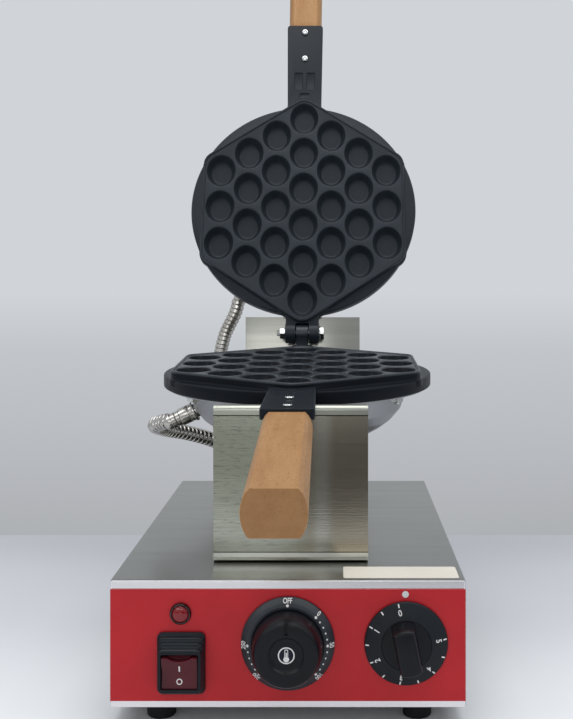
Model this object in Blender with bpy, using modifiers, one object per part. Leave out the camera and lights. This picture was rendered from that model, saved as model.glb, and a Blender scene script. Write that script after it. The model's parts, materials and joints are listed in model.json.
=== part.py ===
"""Countertop bubble waffle maker: two hinged cup moulds on a stand over a control base.

Metres, +Z up, front towards -Y. The origin is on the ground under the middle of the machine.
"""

import math

import bmesh
import bpy
from mathutils import Matrix, Vector

# Clearances between pieces, and the overrun of cuts.
SEAT_GAP = 0.0003
RUN_GAP = 0.0004
CUT_OVERRUN = 0.002
WELD_DISTANCE = 0.000001
MERGE_LIMIT = 0.00005

# Facet counts.
DISC_SIDES = 48
CUP_SIDES = 10
DOME_SIDES = 24
KNOB_SIDES = 32
ROUND_SIDES = 16
SMALL_SIDES = 8
HEX_SIDES = 6
SHARP_ANGLE = math.radians(35)

# Base box, its red panel and its feet.
BASE_WIDTH = 0.250
BASE_DEPTH = 0.3707
BASE_HEIGHT = 0.0892
SHEET = 0.0012
BASE_EDGE_RADIUS = 0.0012
FOOT_HEIGHT = 0.0135
FOOT_RADIUS = 0.0102
FOOT_TOP_RADIUS = 0.0110
FOOT_RECESS_RADIUS = 0.0040
FOOT_RECESS_DEPTH = 0.0050
FOOT_INSET_X = 0.033
FOOT_INSET_Y = 0.022
FOOT_X = BASE_WIDTH / 2 - FOOT_INSET_X
PANEL_THICKNESS = 0.0008
PANEL_SIDE_MARGIN = 0.0004
PANEL_BOTTOM_STRIP = 0.0046
PANEL_TOP_STRIP = 0.0063

# Heights of the controls over the ground, and their places in from the panel's sides.
DIAL_Z = 0.0590
SWITCH_Z = 0.0454
LAMP_Z = 0.0796
TIMER_INSET = 0.0422
SWITCH_INSET = 0.0505
LAMP_INSET = 0.0498
THERMOSTAT_X = 0.0
TIMER_X = BASE_WIDTH / 2 - TIMER_INSET
SWITCH_X = SWITCH_INSET - BASE_WIDTH / 2
LAMP_X = LAMP_INSET - BASE_WIDTH / 2

# Lamp.
LAMP_BEZEL_RADIUS = 0.0075
LAMP_LENS_RADIUS = 0.00535
LAMP_BEZEL_HEIGHT = 0.0030
LAMP_LENS_HEIGHT = 0.0038
LAMP_TAIL_RADIUS = 0.0045
LAMP_TAIL_LENGTH = 0.014

# Rocker switch: a hood that tapers towards its front, and a paddle in it.
SWITCH_WIDTH = 0.0338
SWITCH_HEIGHT = 0.0429
SWITCH_FLANGE = 0.0020
SWITCH_REACH = 0.0130
SWITCH_FRONT_WIDTH = 0.0290
SWITCH_FRONT_TOP = 0.0102
SWITCH_FRONT_BOTTOM = 0.0160
SWITCH_STEPS = 3
SWITCH_CORNER = 0.0035
SWITCH_BODY_WIDTH = 0.0260
SWITCH_BODY_HEIGHT = 0.0330
SWITCH_BODY_DEPTH = 0.0200
ROCKER_WIDTH = 0.0250
ROCKER_HEIGHT = 0.0236
ROCKER_WELL_DEPTH = 0.0120
ROCKER_PIVOT_DEPTH = 0.0040
ROCKER_TILT = math.radians(8)
ROCKER_THICKNESS = 0.0050
ROCKER_CROWN = 0.0012

# Thermostat: fixed dial ring, knob, shaft and body.
DIAL_RING_RADIUS = 0.0328
DIAL_RING_EDGE = 0.0016
DIAL_RING_HEIGHT = 0.0052
THERMOSTAT_KNOB_RADIUS = 0.0248
THERMOSTAT_KNOB_TOP_RADIUS = 0.0236
THERMOSTAT_KNOB_HEIGHT = 0.0255
KNOB_CHAMFER = 0.0022
KNOB_DISH_RADIUS = 0.0130
KNOB_DISH_DEPTH = 0.0022
KNOB_GROOVE_WIDTH = 0.0020
KNOB_GROOVE_DEPTH = 0.0012
KNOB_GROOVE_INNER = 0.0140
KNOB_GROOVE_OUTER = 0.0225

# Timer: knob with a dial skirt and a grip bar.
SKIRT_RADIUS = 0.0293
SKIRT_EDGE = 0.0016
SKIRT_HEIGHT = 0.0045
HUB_RADIUS = 0.0178
HUB_HEIGHT = 0.0110
GRIP_HEIGHT = 0.0240
GRIP_WIDTH = 0.0145
GRIP_TOP_WIDTH = 0.0110
TIMER_ZERO_TURN = math.radians(11.2)

# Shafts and bodies behind the panel.
SHAFT_RADIUS = 0.0030
SHAFT_DEPTH_IN_KNOB = 0.0080
SHAFT_TAIL = 0.0060
DIAL_BODY_RADIUS = 0.0200
DIAL_BODY_LENGTH = 0.0240
DIAL_BOSS_RADIUS = 0.0050

# Terminal block and rear gland.
TERMINAL_LENGTH = 0.060
TERMINAL_DEPTH = 0.020
TERMINAL_HEIGHT = 0.016
TERMINAL_BACK_INSET = 0.060
GLAND_INSET = 0.055
GLAND_X = BASE_WIDTH / 2 - GLAND_INSET
GLAND_Z = 0.045
GLAND_FLANGE_RADIUS = 0.0110
GLAND_FLANGE = 0.0040
GLAND_NOSE_RADIUS = 0.0080
GLAND_NOSE = 0.0120
GLAND_BORE_RADIUS = 0.0040
GLAND_TAIL_RADIUS = 0.0070
GLAND_TAIL = 0.0070

# Hinge line of the moulds over the base, and the mould planes.
HINGE_BACK = 0.3339
HINGE_HEIGHT = 0.2568
OPEN_LEAN = math.radians(20.05)
LOWER_DIP = math.radians(2.8)
LIP_OFFSET = 0.0108
LIP_GAP = 0.0009

# Mould casting. Heights are from the lip plane, distances along the mould from the hinge line.
DISC_CENTRE = 0.1351
DISC_RADIUS = 0.1164
DISC_TOP = 0.0077
DISC_BOTTOM = 0.0183
PATTERN_CENTRE = 0.1337
CUP_COLUMNS = (3, 4, 5, 6, 5, 4, 3)
COLUMN_SPACING = 0.0287
CUP_PITCH = 0.04057
CUP_RIM_X = 0.0149
CUP_RIM_T = 0.0178
CUP_FLOOR_X = 0.00965
CUP_FLOOR_T = 0.0117
CUP_DEPTH = 0.0102
CUP_RING_SHARES = (0.0, 0.62, 1.0)
LAND_DROP = 0.0012
LIP_WIDTH = 0.0023
BLOCK_SIDE_MARGIN = 0.0036
BLOCK_TIP = 0.1270
BLOCK_SHOULDER = 0.0560
BLOCK_CORNER_RADIUS = 0.0150
BLOCK_CORNER_STEPS = 3

# Fork of the upper mould and knuckle of the lower mould.
PIN_RADIUS = 0.0030
PIN_HEAD_RADIUS = 0.0070
PIN_HEAD_HEIGHT = 0.0045
PIN_NUT_RADIUS = 0.0060
PIN_NUT_HEIGHT = 0.0050
PIN_TAIL = 0.0030
FORK_WIDTH = 0.0336
FORK_SLOT = 0.0137
FORK_EAR_RADIUS = 0.0100
FORK_SLOT_END = 0.0089
FORK_ARM_TOP = 0.0060
FORK_ARM_END = 0.0300
BOSS_PROUD = 0.0004
KNUCKLE_WIDTH = 0.0123
KNUCKLE_RADIUS = 0.0085
LUG_WIDTH = 0.0200
LUG_DROP = 0.0015
LUG_END = 0.0250
LUG_RISE = 0.0012
WEB_INSET = 0.0008

# Rear pivot of the mould pair.
PIVOT_RADIUS = 0.0050
PIVOT_DROP = 0.0200
PIVOT_SOCKET_DEPTH = 0.0080
PIVOT_COLLAR_RADIUS = 0.0072
PIVOT_NUT_RADIUS = 0.0090
PIVOT_NUT_HEIGHT = 0.0060
PIVOT_TAIL = 0.0030

# Neck: a cast channel that holds the wood handle.
NECK_START = 0.2350
NECK_END = 0.3510
NECK_TOP = 0.0035
NECK_PLATE = 0.0022
NECK_BOTTOM = 0.0116
NECK_START_WIDTH = 0.0360
NECK_END_WIDTH = 0.0386
NECK_WALL = 0.0020
CHANNEL_START = 0.2590
CHANNEL_TOP_WIDTH = 0.0250
RECESS_LENGTH = 0.0205
RECESS_WIDTH = 0.0091
RECESS_SPREAD = 0.0130
RECESS_CENTRE = 0.28175
RECESS_DEPTH = 0.0010
SMALL_RECESS_LENGTH = 0.0057
SMALL_RECESS_WIDTH = 0.0106
SMALL_RECESS_CENTRE = 0.26415

# Wood handle, measured from the neck's end.
HANDLE_LENGTH = 0.1670
HANDLE_DROOP = math.radians(4.2)
HANDLE_TOP_STEP = 0.0020
HANDLE_START_WIDTH = 0.0355
HANDLE_END_WIDTH = 0.0375
HANDLE_START_HEIGHT = 0.0240
HANDLE_END_HEIGHT = 0.0280
HANDLE_FLAT_WIDTH = 0.0270
HANDLE_FLOOR_WIDTH = 0.0240
HANDLE_CHAMFER_DROP = 0.0050
HANDLE_END_ROUND = 0.0020
HANDLE_STATIONS = 6
TANG_START = 0.2600
TANG_WALL_GAP = 0.0006
TANG_BOTTOM_RISE = 0.0012

# Handle screws.
SCREW_PLACES = (0.3090, 0.3420)
SCREW_HEAD_RADIUS = 0.0033
SCREW_HEAD_HEIGHT = 0.0016
SCREW_SHANK_RADIUS = 0.0016
SCREW_LENGTH = 0.0065

# Heater cover: a turned bowl, as radius and depth below the disc.
DOME_SHEET = 0.0012
DOME_FLANGE_RADIUS = 0.1130
DOME_PROFILE = (
    (0.0952, 0.0),
    (0.0940, 0.0070),
    (0.0905, 0.0180),
    (0.0825, 0.0275),
    (0.0746, 0.0335),
    (0.0645, 0.0395),
    (0.0530, 0.0440),
    (0.0400, 0.0460),
)
HEATER_OUTER_RADIUS = 0.0720
HEATER_INNER_RADIUS = 0.0560
HEATER_HEIGHT = 0.0070
STUD_CIRCLE = 0.1038
STUD_TURN = math.radians(36)
STUD_RADIUS = 0.0025
STUD_SOCKET = 0.0060
STUD_TAIL = 0.0025
NUT_RADIUS = 0.0059
NUT_HEIGHT = 0.0040

# Stand plates.
STAND_WIDTH = 0.1153
STAND_SHEET = 0.0014
FRONT_PLATE_BACK = 0.0470
STAND_FOOT_LENGTH = 0.0180
STAND_TOP_FLANGE = 0.0075
STAND_BOLT_X = 0.0430
STAND_BOLT_RADIUS = 0.0020
STAND_BOLT_HEAD_RADIUS = 0.0042
STAND_BOLT_HEAD_HEIGHT = 0.0024
STAND_BOLT_LENGTH = 0.0080
BOLT_CROWN_SHARE = 0.65

# Ribbed hoses, their collars on the covers and their glands on the base.
HOSE_RADIUS = 0.0070
HOSE_VALLEY_RADIUS = 0.0060
HOSE_BORE_RADIUS = 0.0045
RIB_PITCH = 0.0045
HOSE_BORE_STEP = 0.0150
HOSE_STRAIGHT = 0.0140
HOSE_SINK = 0.0050
ROUTE_STEPS = 24
COLLAR_RADIUS = 0.0079
COLLAR_RIM_RADIUS = 0.0089
COLLAR_RIM = 0.0018
COLLAR_LENGTH = 0.0175
COLLAR_SEAT_LIFT = 0.0034
COLLAR_TAIL = 0.0040
COLLAR_TAIL_RADIUS = 0.0062
COLLAR_TAIL_BORE = 0.0040
COLLAR_DIP = math.radians(25)
COLLAR_DEPTH = 0.0228
COLLAR_SEAT_RADIUS = 0.0868
LOWER_COLLAR_TURN = 0.0
UPPER_COLLAR_TURN = math.radians(232)
HOSE_GLAND_RADIUS = 0.0110
HOSE_GLAND_HEIGHT = 0.0070
LOWER_GLAND_X = -0.0350
LOWER_GLAND_BACK = 0.2950
UPPER_GLAND_X = -0.0750
UPPER_GLAND_BACK = 0.3150


def rgb(red, green, blue):
    """One display colour of 0 to 255 per channel as linear values."""
    linear = []
    for channel in (red, green, blue):
        share = channel / 255
        linear.append(share / 12.92 if share <= 0.04045 else ((share + 0.055) / 1.055) ** 2.4)
    return (*linear, 1.0)


# Colour, roughness and metallic value of each material.
FINISHES = {
    "steel": (rgb(168, 178, 180), 0.32, 1.0),
    "bright_steel": (rgb(196, 202, 204), 0.22, 1.0),
    "cover_steel": (rgb(172, 182, 190), 0.38, 1.0),
    "red_panel": (rgb(168, 34, 42), 0.35, 0.0),
    "black_plastic": (rgb(34, 38, 44), 0.40, 0.0),
    "dial_plastic": (rgb(48, 58, 64), 0.45, 0.0),
    "rocker_red": (rgb(82, 18, 26), 0.25, 0.0),
    "lamp_amber": (rgb(120, 60, 40), 0.20, 0.0),
    "rubber": (rgb(30, 32, 35), 0.75, 0.0),
    "mould_coating": (rgb(62, 70, 77), 0.36, 0.3),
    "heater": (rgb(120, 112, 104), 0.50, 1.0),
    "wood": (rgb(192, 142, 98), 0.50, 0.0),
    "brass": (rgb(184, 150, 90), 0.35, 1.0),
    "terminal_white": (rgb(212, 208, 198), 0.60, 0.0),
}


def clear_scene():
    """Remove what the file opens with."""
    for scene_object in list(bpy.data.objects):
        bpy.data.objects.remove(scene_object)


def make_collection(name):
    """One new collection in the scene."""
    collection = bpy.data.collections.new(name)
    bpy.context.scene.collection.children.link(collection)
    return collection


clear_scene()
PARTS = make_collection("bubble_waffle_maker")
CUTTERS = make_collection("cutters")


def make_material(name, colour, roughness, metallic):
    """One Principled material."""
    material = bpy.data.materials.new(name)
    material.use_nodes = True
    shader = material.node_tree.nodes["Principled BSDF"]
    shader.inputs["Base Color"].default_value = colour
    shader.inputs["Roughness"].default_value = roughness
    shader.inputs["Metallic"].default_value = metallic
    material.diffuse_color = colour
    return material


def add_object(name, mesh, finish, parent=None, smooth=True):
    """Put a mesh in the parts collection, with its own material."""
    node = bpy.data.objects.new(name, mesh)
    PARTS.objects.link(node)
    node.parent = parent
    mesh.materials.clear()
    mesh.materials.append(make_material(name, *FINISHES[finish]))
    if smooth:
        mesh.shade_smooth()
        mesh.set_sharp_from_angle(angle=SHARP_ANGLE)
    return node


def add_empty(name, matrix):
    """A joint axis or a frame that pieces are parented to."""
    empty = bpy.data.objects.new(name, None)
    PARTS.objects.link(empty)
    empty.matrix_world = matrix
    return empty


def mesh_from(shape, name):
    """Turn a bmesh into a mesh and free it."""
    mesh = bpy.data.meshes.new(name)
    bmesh.ops.recalc_face_normals(shape, faces=shape.faces)
    shape.to_mesh(mesh)
    shape.free()
    return mesh


def box_mesh(name, low, high):
    """A box between two corners."""
    shape = bmesh.new()
    bmesh.ops.create_cube(shape, size=1.0)
    low, high = Vector(low), Vector(high)
    size = high - low
    for vertex in shape.verts:
        for axis in range(3):
            vertex.co[axis] = (low[axis] + high[axis]) / 2 + vertex.co[axis] * size[axis]
    return mesh_from(shape, name)


def rod_mesh(name, radius, start, end, sides, end_radius=None):
    """A cylinder or a cone between two points."""
    shape = bmesh.new()
    start, end = Vector(start), Vector(end)
    span = end - start
    last = radius if end_radius is None else end_radius
    bmesh.ops.create_cone(
        shape, cap_ends=True, segments=sides, radius1=radius, radius2=last, depth=span.length
    )
    turn = span.to_track_quat("Z", "Y").to_matrix().to_4x4()
    middle = Matrix.Translation((start + end) / 2)
    bmesh.ops.transform(shape, matrix=middle @ turn, verts=shape.verts)
    return mesh_from(shape, name)


def prism_mesh(name, outline, low, high):
    """A flat outline raised from one height to another."""
    shape = bmesh.new()
    ring = [shape.verts.new((x, y, low)) for x, y in outline]
    top = [shape.verts.new((x, y, high)) for x, y in outline]
    shape.faces.new(ring)
    shape.faces.new(top)
    for index in range(len(ring)):
        after = (index + 1) % len(ring)
        shape.faces.new((ring[index], ring[after], top[after], top[index]))
    return mesh_from(shape, name)


def loft_mesh(name, sections):
    """A closed skin over sections with equal point counts."""
    shape = bmesh.new()
    rings = [[shape.verts.new(point) for point in section] for section in sections]
    count = len(rings[0])
    for before, after in zip(rings, rings[1:]):
        for index in range(count):
            follow = (index + 1) % count
            shape.faces.new((before[index], before[follow], after[follow], after[index]))
    shape.faces.new(rings[0])
    shape.faces.new(rings[-1])
    bmesh.ops.triangulate(shape, faces=shape.faces)
    return mesh_from(shape, name)


def turned_mesh(name, profile, sides):
    """A closed profile of (radius, height) points turned round Z with a Screw modifier."""
    shape = bmesh.new()
    verts = [shape.verts.new((radius, 0, height)) for radius, height in profile]
    for before, after in zip(verts, verts[1:]):
        shape.edges.new((before, after))
    if profile[0][0] > 0:
        shape.edges.new((verts[-1], verts[0]))
    outline = bpy.data.meshes.new(name)
    shape.to_mesh(outline)
    shape.free()
    holder = bpy.data.objects.new(name, outline)
    CUTTERS.objects.link(holder)
    screw = holder.modifiers.new("turn", "SCREW")
    screw.steps = sides
    screw.render_steps = sides
    screw.use_merge_vertices = True
    screw.merge_threshold = MERGE_LIMIT
    screw.use_normal_calculate = True
    mesh = evaluated_mesh(holder, name)
    shape = bmesh.new()
    shape.from_mesh(mesh)
    bmesh.ops.remove_doubles(shape, verts=shape.verts, dist=MERGE_LIMIT)
    return mesh_from(shape, name)


def evaluated_mesh(holder, name):
    """The mesh that an object's modifiers make; the object is removed."""
    bpy.context.view_layer.update()
    graph = bpy.context.evaluated_depsgraph_get()
    mesh = bpy.data.meshes.new_from_object(holder.evaluated_get(graph))
    mesh.name = name
    bpy.data.objects.remove(holder)
    return mesh


def placed(mesh, matrix):
    """The mesh moved by a matrix."""
    mesh.transform(matrix)
    return mesh


def combine(name, base, others, operation):
    """Cut other meshes out of a base mesh, or join them to it, one exact Boolean each."""
    holder = bpy.data.objects.new(name, base)
    CUTTERS.objects.link(holder)
    tools = []
    for index, mesh in enumerate(others):
        tool = bpy.data.objects.new(f"{name}_tool_{index}", mesh)
        CUTTERS.objects.link(tool)
        tool.hide_render = True
        tool.display_type = "WIRE"
        tools.append(tool)
        boolean = holder.modifiers.new(f"step_{index}", "BOOLEAN")
        boolean.operation = operation
        boolean.object = tool
        boolean.solver = "EXACT"
    mesh = evaluated_mesh(holder, name)
    for tool in tools:
        bpy.data.objects.remove(tool)
    shape = bmesh.new()
    shape.from_mesh(mesh)
    bmesh.ops.remove_doubles(shape, verts=shape.verts, dist=WELD_DISTANCE)
    return mesh_from(shape, name)


def cut(name, base, cutters):
    """The base mesh without the cutters."""
    return combine(name, base, cutters, "DIFFERENCE")


def join(name, base, others):
    """The base mesh with others joined to it."""
    return combine(name, base, others, "UNION")


def together(name, meshes):
    """Several separate meshes as one mesh, for one cut."""
    shape = bmesh.new()
    for mesh in meshes:
        shape.from_mesh(mesh)
    return mesh_from(shape, name)


def bevel_edges(mesh, width, segments, chosen):
    """Round the edges that a test picks."""
    shape = bmesh.new()
    shape.from_mesh(mesh)
    edges = [edge for edge in shape.edges if chosen(edge)]
    bmesh.ops.bevel(
        shape, geom=edges, offset=width, segments=segments, profile=0.5, affect="EDGES"
    )
    return mesh_from(shape, mesh.name)


def rounded_outline(corners, radius, steps):
    """A polygon's outline with every corner replaced by an arc."""
    outline = []
    count = len(corners)
    for index in range(count):
        corner = Vector(corners[index])
        back = (Vector(corners[index - 1]) - corner).normalized()
        ahead = (Vector(corners[(index + 1) % count]) - corner).normalized()
        half = back.angle(ahead) / 2
        centre = corner + (back + ahead).normalized() * (radius / math.sin(half))
        first = corner + back * (radius / math.tan(half))
        last = corner + ahead * (radius / math.tan(half))
        start = math.atan2(first.y - centre.y, first.x - centre.x)
        sweep = math.atan2(last.y - centre.y, last.x - centre.x) - start
        sweep = (sweep + math.pi) % (2 * math.pi) - math.pi
        for step in range(steps + 1):
            angle = start + sweep * step / steps
            outline.append((centre.x + radius * math.cos(angle), centre.y + radius * math.sin(angle)))
    return outline


# Places that follow from the sizes above.
BASE_TOP = FOOT_HEIGHT + BASE_HEIGHT
LOWER_LIP = -LIP_OFFSET - LIP_GAP / 2
UPPER_LIP = LIP_OFFSET - LIP_GAP / 2


def handle_corners(lip):
    """End corners of a handle, as distance along the mould and height over the hinge line."""
    start = Vector((NECK_END + SEAT_GAP, lip - NECK_TOP - HANDLE_TOP_STEP))
    along = Vector((math.cos(HANDLE_DROOP), -math.sin(HANDLE_DROOP)))
    down = Vector((-math.sin(HANDLE_DROOP), -math.cos(HANDLE_DROOP)))
    corners = []
    rounded = (HANDLE_LENGTH, HANDLE_END_ROUND / 2)
    straight = (HANDLE_LENGTH - HANDLE_END_ROUND, 0)
    for reach, inset in (rounded, straight):
        end = start + along * reach
        corners += [end + down * inset, end + down * (HANDLE_END_HEIGHT - inset)]
    return corners


def machine_reach():
    """How far the two handle ends reach in front of and behind the hinge line."""
    front = max(
        distance * math.cos(LOWER_DIP) + height * math.sin(LOWER_DIP)
        for distance, height in handle_corners(LOWER_LIP)
    )
    back = max(
        distance * math.sin(OPEN_LEAN) - height * math.cos(OPEN_LEAN)
        for distance, height in handle_corners(UPPER_LIP)
    )
    return front, back


FRONT_REACH, BACK_REACH = machine_reach()
HINGE_Y = (FRONT_REACH - BACK_REACH) / 2
BASE_FRONT = HINGE_Y - HINGE_BACK
BASE_BACK = BASE_FRONT + BASE_DEPTH
PANEL_FACE = BASE_FRONT - SEAT_GAP - PANEL_THICKNESS
HINGE_POINT = Vector((0, HINGE_Y, HINGE_HEIGHT))


def mould_matrix(direction, normal):
    """A frame at the hinge line: Y along the handle, Z out of the cup side."""
    side = direction.cross(normal)
    turn = Matrix((side, direction, normal)).transposed().to_4x4()
    return Matrix.Translation(HINGE_POINT) @ turn


LOWER_ALONG = Vector((0, -math.cos(LOWER_DIP), -math.sin(LOWER_DIP)))
LOWER_NORMAL = Vector((0, -math.sin(LOWER_DIP), math.cos(LOWER_DIP)))
UPPER_ALONG = Vector((0, math.sin(OPEN_LEAN), math.cos(OPEN_LEAN)))
UPPER_NORMAL = Vector((0, -math.cos(OPEN_LEAN), math.sin(OPEN_LEAN)))
LOWER_MATRIX = mould_matrix(LOWER_ALONG, LOWER_NORMAL)
UPPER_MATRIX = mould_matrix(UPPER_ALONG, UPPER_NORMAL)
STOP_CORNER = UPPER_MATRIX @ Vector(
    (0, DISC_CENTRE - DISC_RADIUS + STAND_SHEET / 2, UPPER_LIP - DISC_BOTTOM - RUN_GAP)
)
REAR_PLATE_FRONT = STOP_CORNER.y
REAR_PLATE_TOP = STOP_CORNER.z


def base_point(x, back, height):
    """A point given from the base's front face and the ground."""
    return Vector((x, BASE_FRONT + back, height))


FRONT_PLATE_Y = BASE_FRONT + FRONT_PLATE_BACK
NECK_REST_ALONG = (HINGE_Y - FRONT_PLATE_Y) / math.cos(LOWER_DIP)
NECK_REST = LOWER_MATRIX @ Vector((0, NECK_REST_ALONG, LOWER_LIP - NECK_BOTTOM))
STAND_SLOPE_LOSS = STAND_SHEET * math.tan(LOWER_DIP)
FRONT_PLATE_TOP = NECK_REST.z - SEAT_GAP - STAND_SLOPE_LOSS


def panel_matrix(x, z, depth):
    """A frame on the front panel: Z points out of the front."""
    return Matrix.Translation((x, depth, z)) @ Matrix.Rotation(math.pi / 2, 4, "X")


# Base.


def control_cutters(label, front, back):
    """Cutters for the controls, through walls between two depths."""
    half_width = SWITCH_BODY_WIDTH / 2 + SEAT_GAP
    half_height = SWITCH_BODY_HEIGHT / 2 + SEAT_GAP
    cutters = [
        box_mesh(
            f"{label}_switch",
            (SWITCH_X - half_width, front, SWITCH_Z - half_height),
            (SWITCH_X + half_width, back, SWITCH_Z + half_height),
        )
    ]
    holes = (
        (LAMP_X, LAMP_Z, LAMP_TAIL_RADIUS + SEAT_GAP),
        (THERMOSTAT_X, DIAL_Z, DIAL_BOSS_RADIUS + SEAT_GAP),
        (TIMER_X, DIAL_Z, DIAL_BOSS_RADIUS + SEAT_GAP),
    )
    for x, z, radius in holes:
        cutters.append(rod_mesh(label, radius, (x, front, z), (x, back, z), ROUND_SIDES))
    return cutters


def hose_places():
    """Where the two hoses enter the base top."""
    return {
        "lower": (LOWER_GLAND_X, BASE_FRONT + LOWER_GLAND_BACK),
        "upper": (UPPER_GLAND_X, BASE_FRONT + UPPER_GLAND_BACK),
    }


def stand_bolt_places():
    """Where the bolts go through the stand's feet and the base top."""
    front_y = FRONT_PLATE_Y + STAND_FOOT_LENGTH / 2
    rear_y = REAR_PLATE_FRONT - STAND_FOOT_LENGTH / 2
    return {
        "stand_bolt_front_left": (-STAND_BOLT_X, front_y),
        "stand_bolt_front_right": (STAND_BOLT_X, front_y),
        "stand_bolt_rear_left": (-STAND_BOLT_X, rear_y),
        "stand_bolt_rear_right": (STAND_BOLT_X, rear_y),
    }


def build_base_shell():
    """Folded steel box, open below."""
    half = BASE_WIDTH / 2
    outer = box_mesh("base_shell", (-half, BASE_FRONT, FOOT_HEIGHT), (half, BASE_BACK, BASE_TOP))
    outer = bevel_edges(
        outer, BASE_EDGE_RADIUS, 2,
        lambda edge: all(vertex.co.z > FOOT_HEIGHT + SHEET for vertex in edge.verts)
        or abs(edge.verts[0].co.z - edge.verts[1].co.z) > BASE_HEIGHT / 2,
    )
    inner = box_mesh(
        "shell_inside",
        (-half + SHEET, BASE_FRONT + SHEET, FOOT_HEIGHT - CUT_OVERRUN),
        (half - SHEET, BASE_BACK - SHEET, BASE_TOP - SHEET),
    )
    cutters = [inner]
    cutters += control_cutters("shell", BASE_FRONT - CUT_OVERRUN, BASE_FRONT + SHEET + CUT_OVERRUN)
    for x, y in hose_places().values():
        low = (x, y, BASE_TOP - SHEET - CUT_OVERRUN)
        high = (x, y, BASE_TOP + CUT_OVERRUN)
        cutters.append(rod_mesh("hose_hole", HOSE_RADIUS + RUN_GAP, low, high, ROUND_SIDES))
    for x, y in stand_bolt_places().values():
        low = (x, y, BASE_TOP - SHEET - CUT_OVERRUN)
        high = (x, y, BASE_TOP + CUT_OVERRUN)
        cutters.append(rod_mesh("bolt_hole", STAND_BOLT_RADIUS + SEAT_GAP, low, high, SMALL_SIDES))
    gland_back = (GLAND_X, BASE_BACK + CUT_OVERRUN, GLAND_Z)
    gland_front = (GLAND_X, BASE_BACK - SHEET - CUT_OVERRUN, GLAND_Z)
    cutters.append(
        rod_mesh("gland_hole", GLAND_TAIL_RADIUS + SEAT_GAP, gland_front, gland_back, ROUND_SIDES)
    )
    add_object("base_shell", cut("base_shell", outer, cutters), "steel")


def build_base_floor():
    """Bottom plate inside the shell's lower edge."""
    reach = BASE_WIDTH / 2 - SHEET - SEAT_GAP
    low = (-reach, BASE_FRONT + SHEET + SEAT_GAP, FOOT_HEIGHT + SEAT_GAP)
    high = (reach, BASE_BACK - SHEET - SEAT_GAP, FOOT_HEIGHT + SEAT_GAP + SHEET)
    add_object("base_floor", box_mesh("base_floor", low, high), "steel", smooth=False)


def build_front_panel():
    """Red plate on the steel front, between two bare strips."""
    reach = BASE_WIDTH / 2 - PANEL_SIDE_MARGIN
    low = (-reach, PANEL_FACE, FOOT_HEIGHT + PANEL_BOTTOM_STRIP)
    high = (reach, PANEL_FACE + PANEL_THICKNESS, BASE_TOP - PANEL_TOP_STRIP)
    plate = box_mesh("front_panel", low, high)
    cutters = control_cutters("panel", PANEL_FACE - CUT_OVERRUN, BASE_FRONT + CUT_OVERRUN)
    add_object("front_panel", cut("front_panel", plate, cutters), "red_panel")


def build_feet():
    """Four turned rubber feet with a recess below."""
    rim = (FOOT_RADIUS - FOOT_RECESS_RADIUS) / 4
    profile = (
        (0, FOOT_HEIGHT),
        (FOOT_TOP_RADIUS, FOOT_HEIGHT),
        (FOOT_RADIUS, rim),
        (FOOT_RADIUS - rim, 0),
        (FOOT_RECESS_RADIUS, 0),
        (FOOT_RECESS_RADIUS, FOOT_RECESS_DEPTH),
        (0, FOOT_RECESS_DEPTH),
    )
    places = {
        "foot_front_left": (-FOOT_X, BASE_FRONT + FOOT_INSET_Y),
        "foot_front_right": (FOOT_X, BASE_FRONT + FOOT_INSET_Y),
        "foot_rear_left": (-FOOT_X, BASE_BACK - FOOT_INSET_Y),
        "foot_rear_right": (FOOT_X, BASE_BACK - FOOT_INSET_Y),
    }
    for name, (x, y) in places.items():
        foot = add_object(name, turned_mesh(name, profile, ROUND_SIDES), "rubber")
        foot.location = (x, y, 0)


def build_rear_gland():
    """Strain relief in the rear wall."""
    tail = GLAND_TAIL
    nose = GLAND_FLANGE + GLAND_NOSE
    profile = (
        (GLAND_BORE_RADIUS, nose),
        (GLAND_NOSE_RADIUS - SHEET, nose),
        (GLAND_NOSE_RADIUS, GLAND_FLANGE),
        (GLAND_FLANGE_RADIUS, GLAND_FLANGE),
        (GLAND_FLANGE_RADIUS, SEAT_GAP),
        (GLAND_TAIL_RADIUS, SEAT_GAP),
        (GLAND_TAIL_RADIUS, -tail),
        (GLAND_BORE_RADIUS, -tail),
    )
    gland = add_object("rear_gland", turned_mesh("rear_gland", profile, ROUND_SIDES), "black_plastic")
    gland.matrix_world = Matrix.Translation((GLAND_X, BASE_BACK, GLAND_Z)) @ Matrix.Rotation(
        -math.pi / 2, 4, "X"
    )


def build_terminal_block():
    """Block that the wires meet in, on the floor plate."""
    floor_top = FOOT_HEIGHT + 2 * SEAT_GAP + SHEET
    back = BASE_BACK - TERMINAL_BACK_INSET
    low = (-TERMINAL_LENGTH / 2, back - TERMINAL_DEPTH, floor_top)
    high = (TERMINAL_LENGTH / 2, back, floor_top + TERMINAL_HEIGHT)
    block = box_mesh("terminal_block", low, high)
    add_object("terminal_block", block, "terminal_white", smooth=False)


# Controls.


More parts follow.
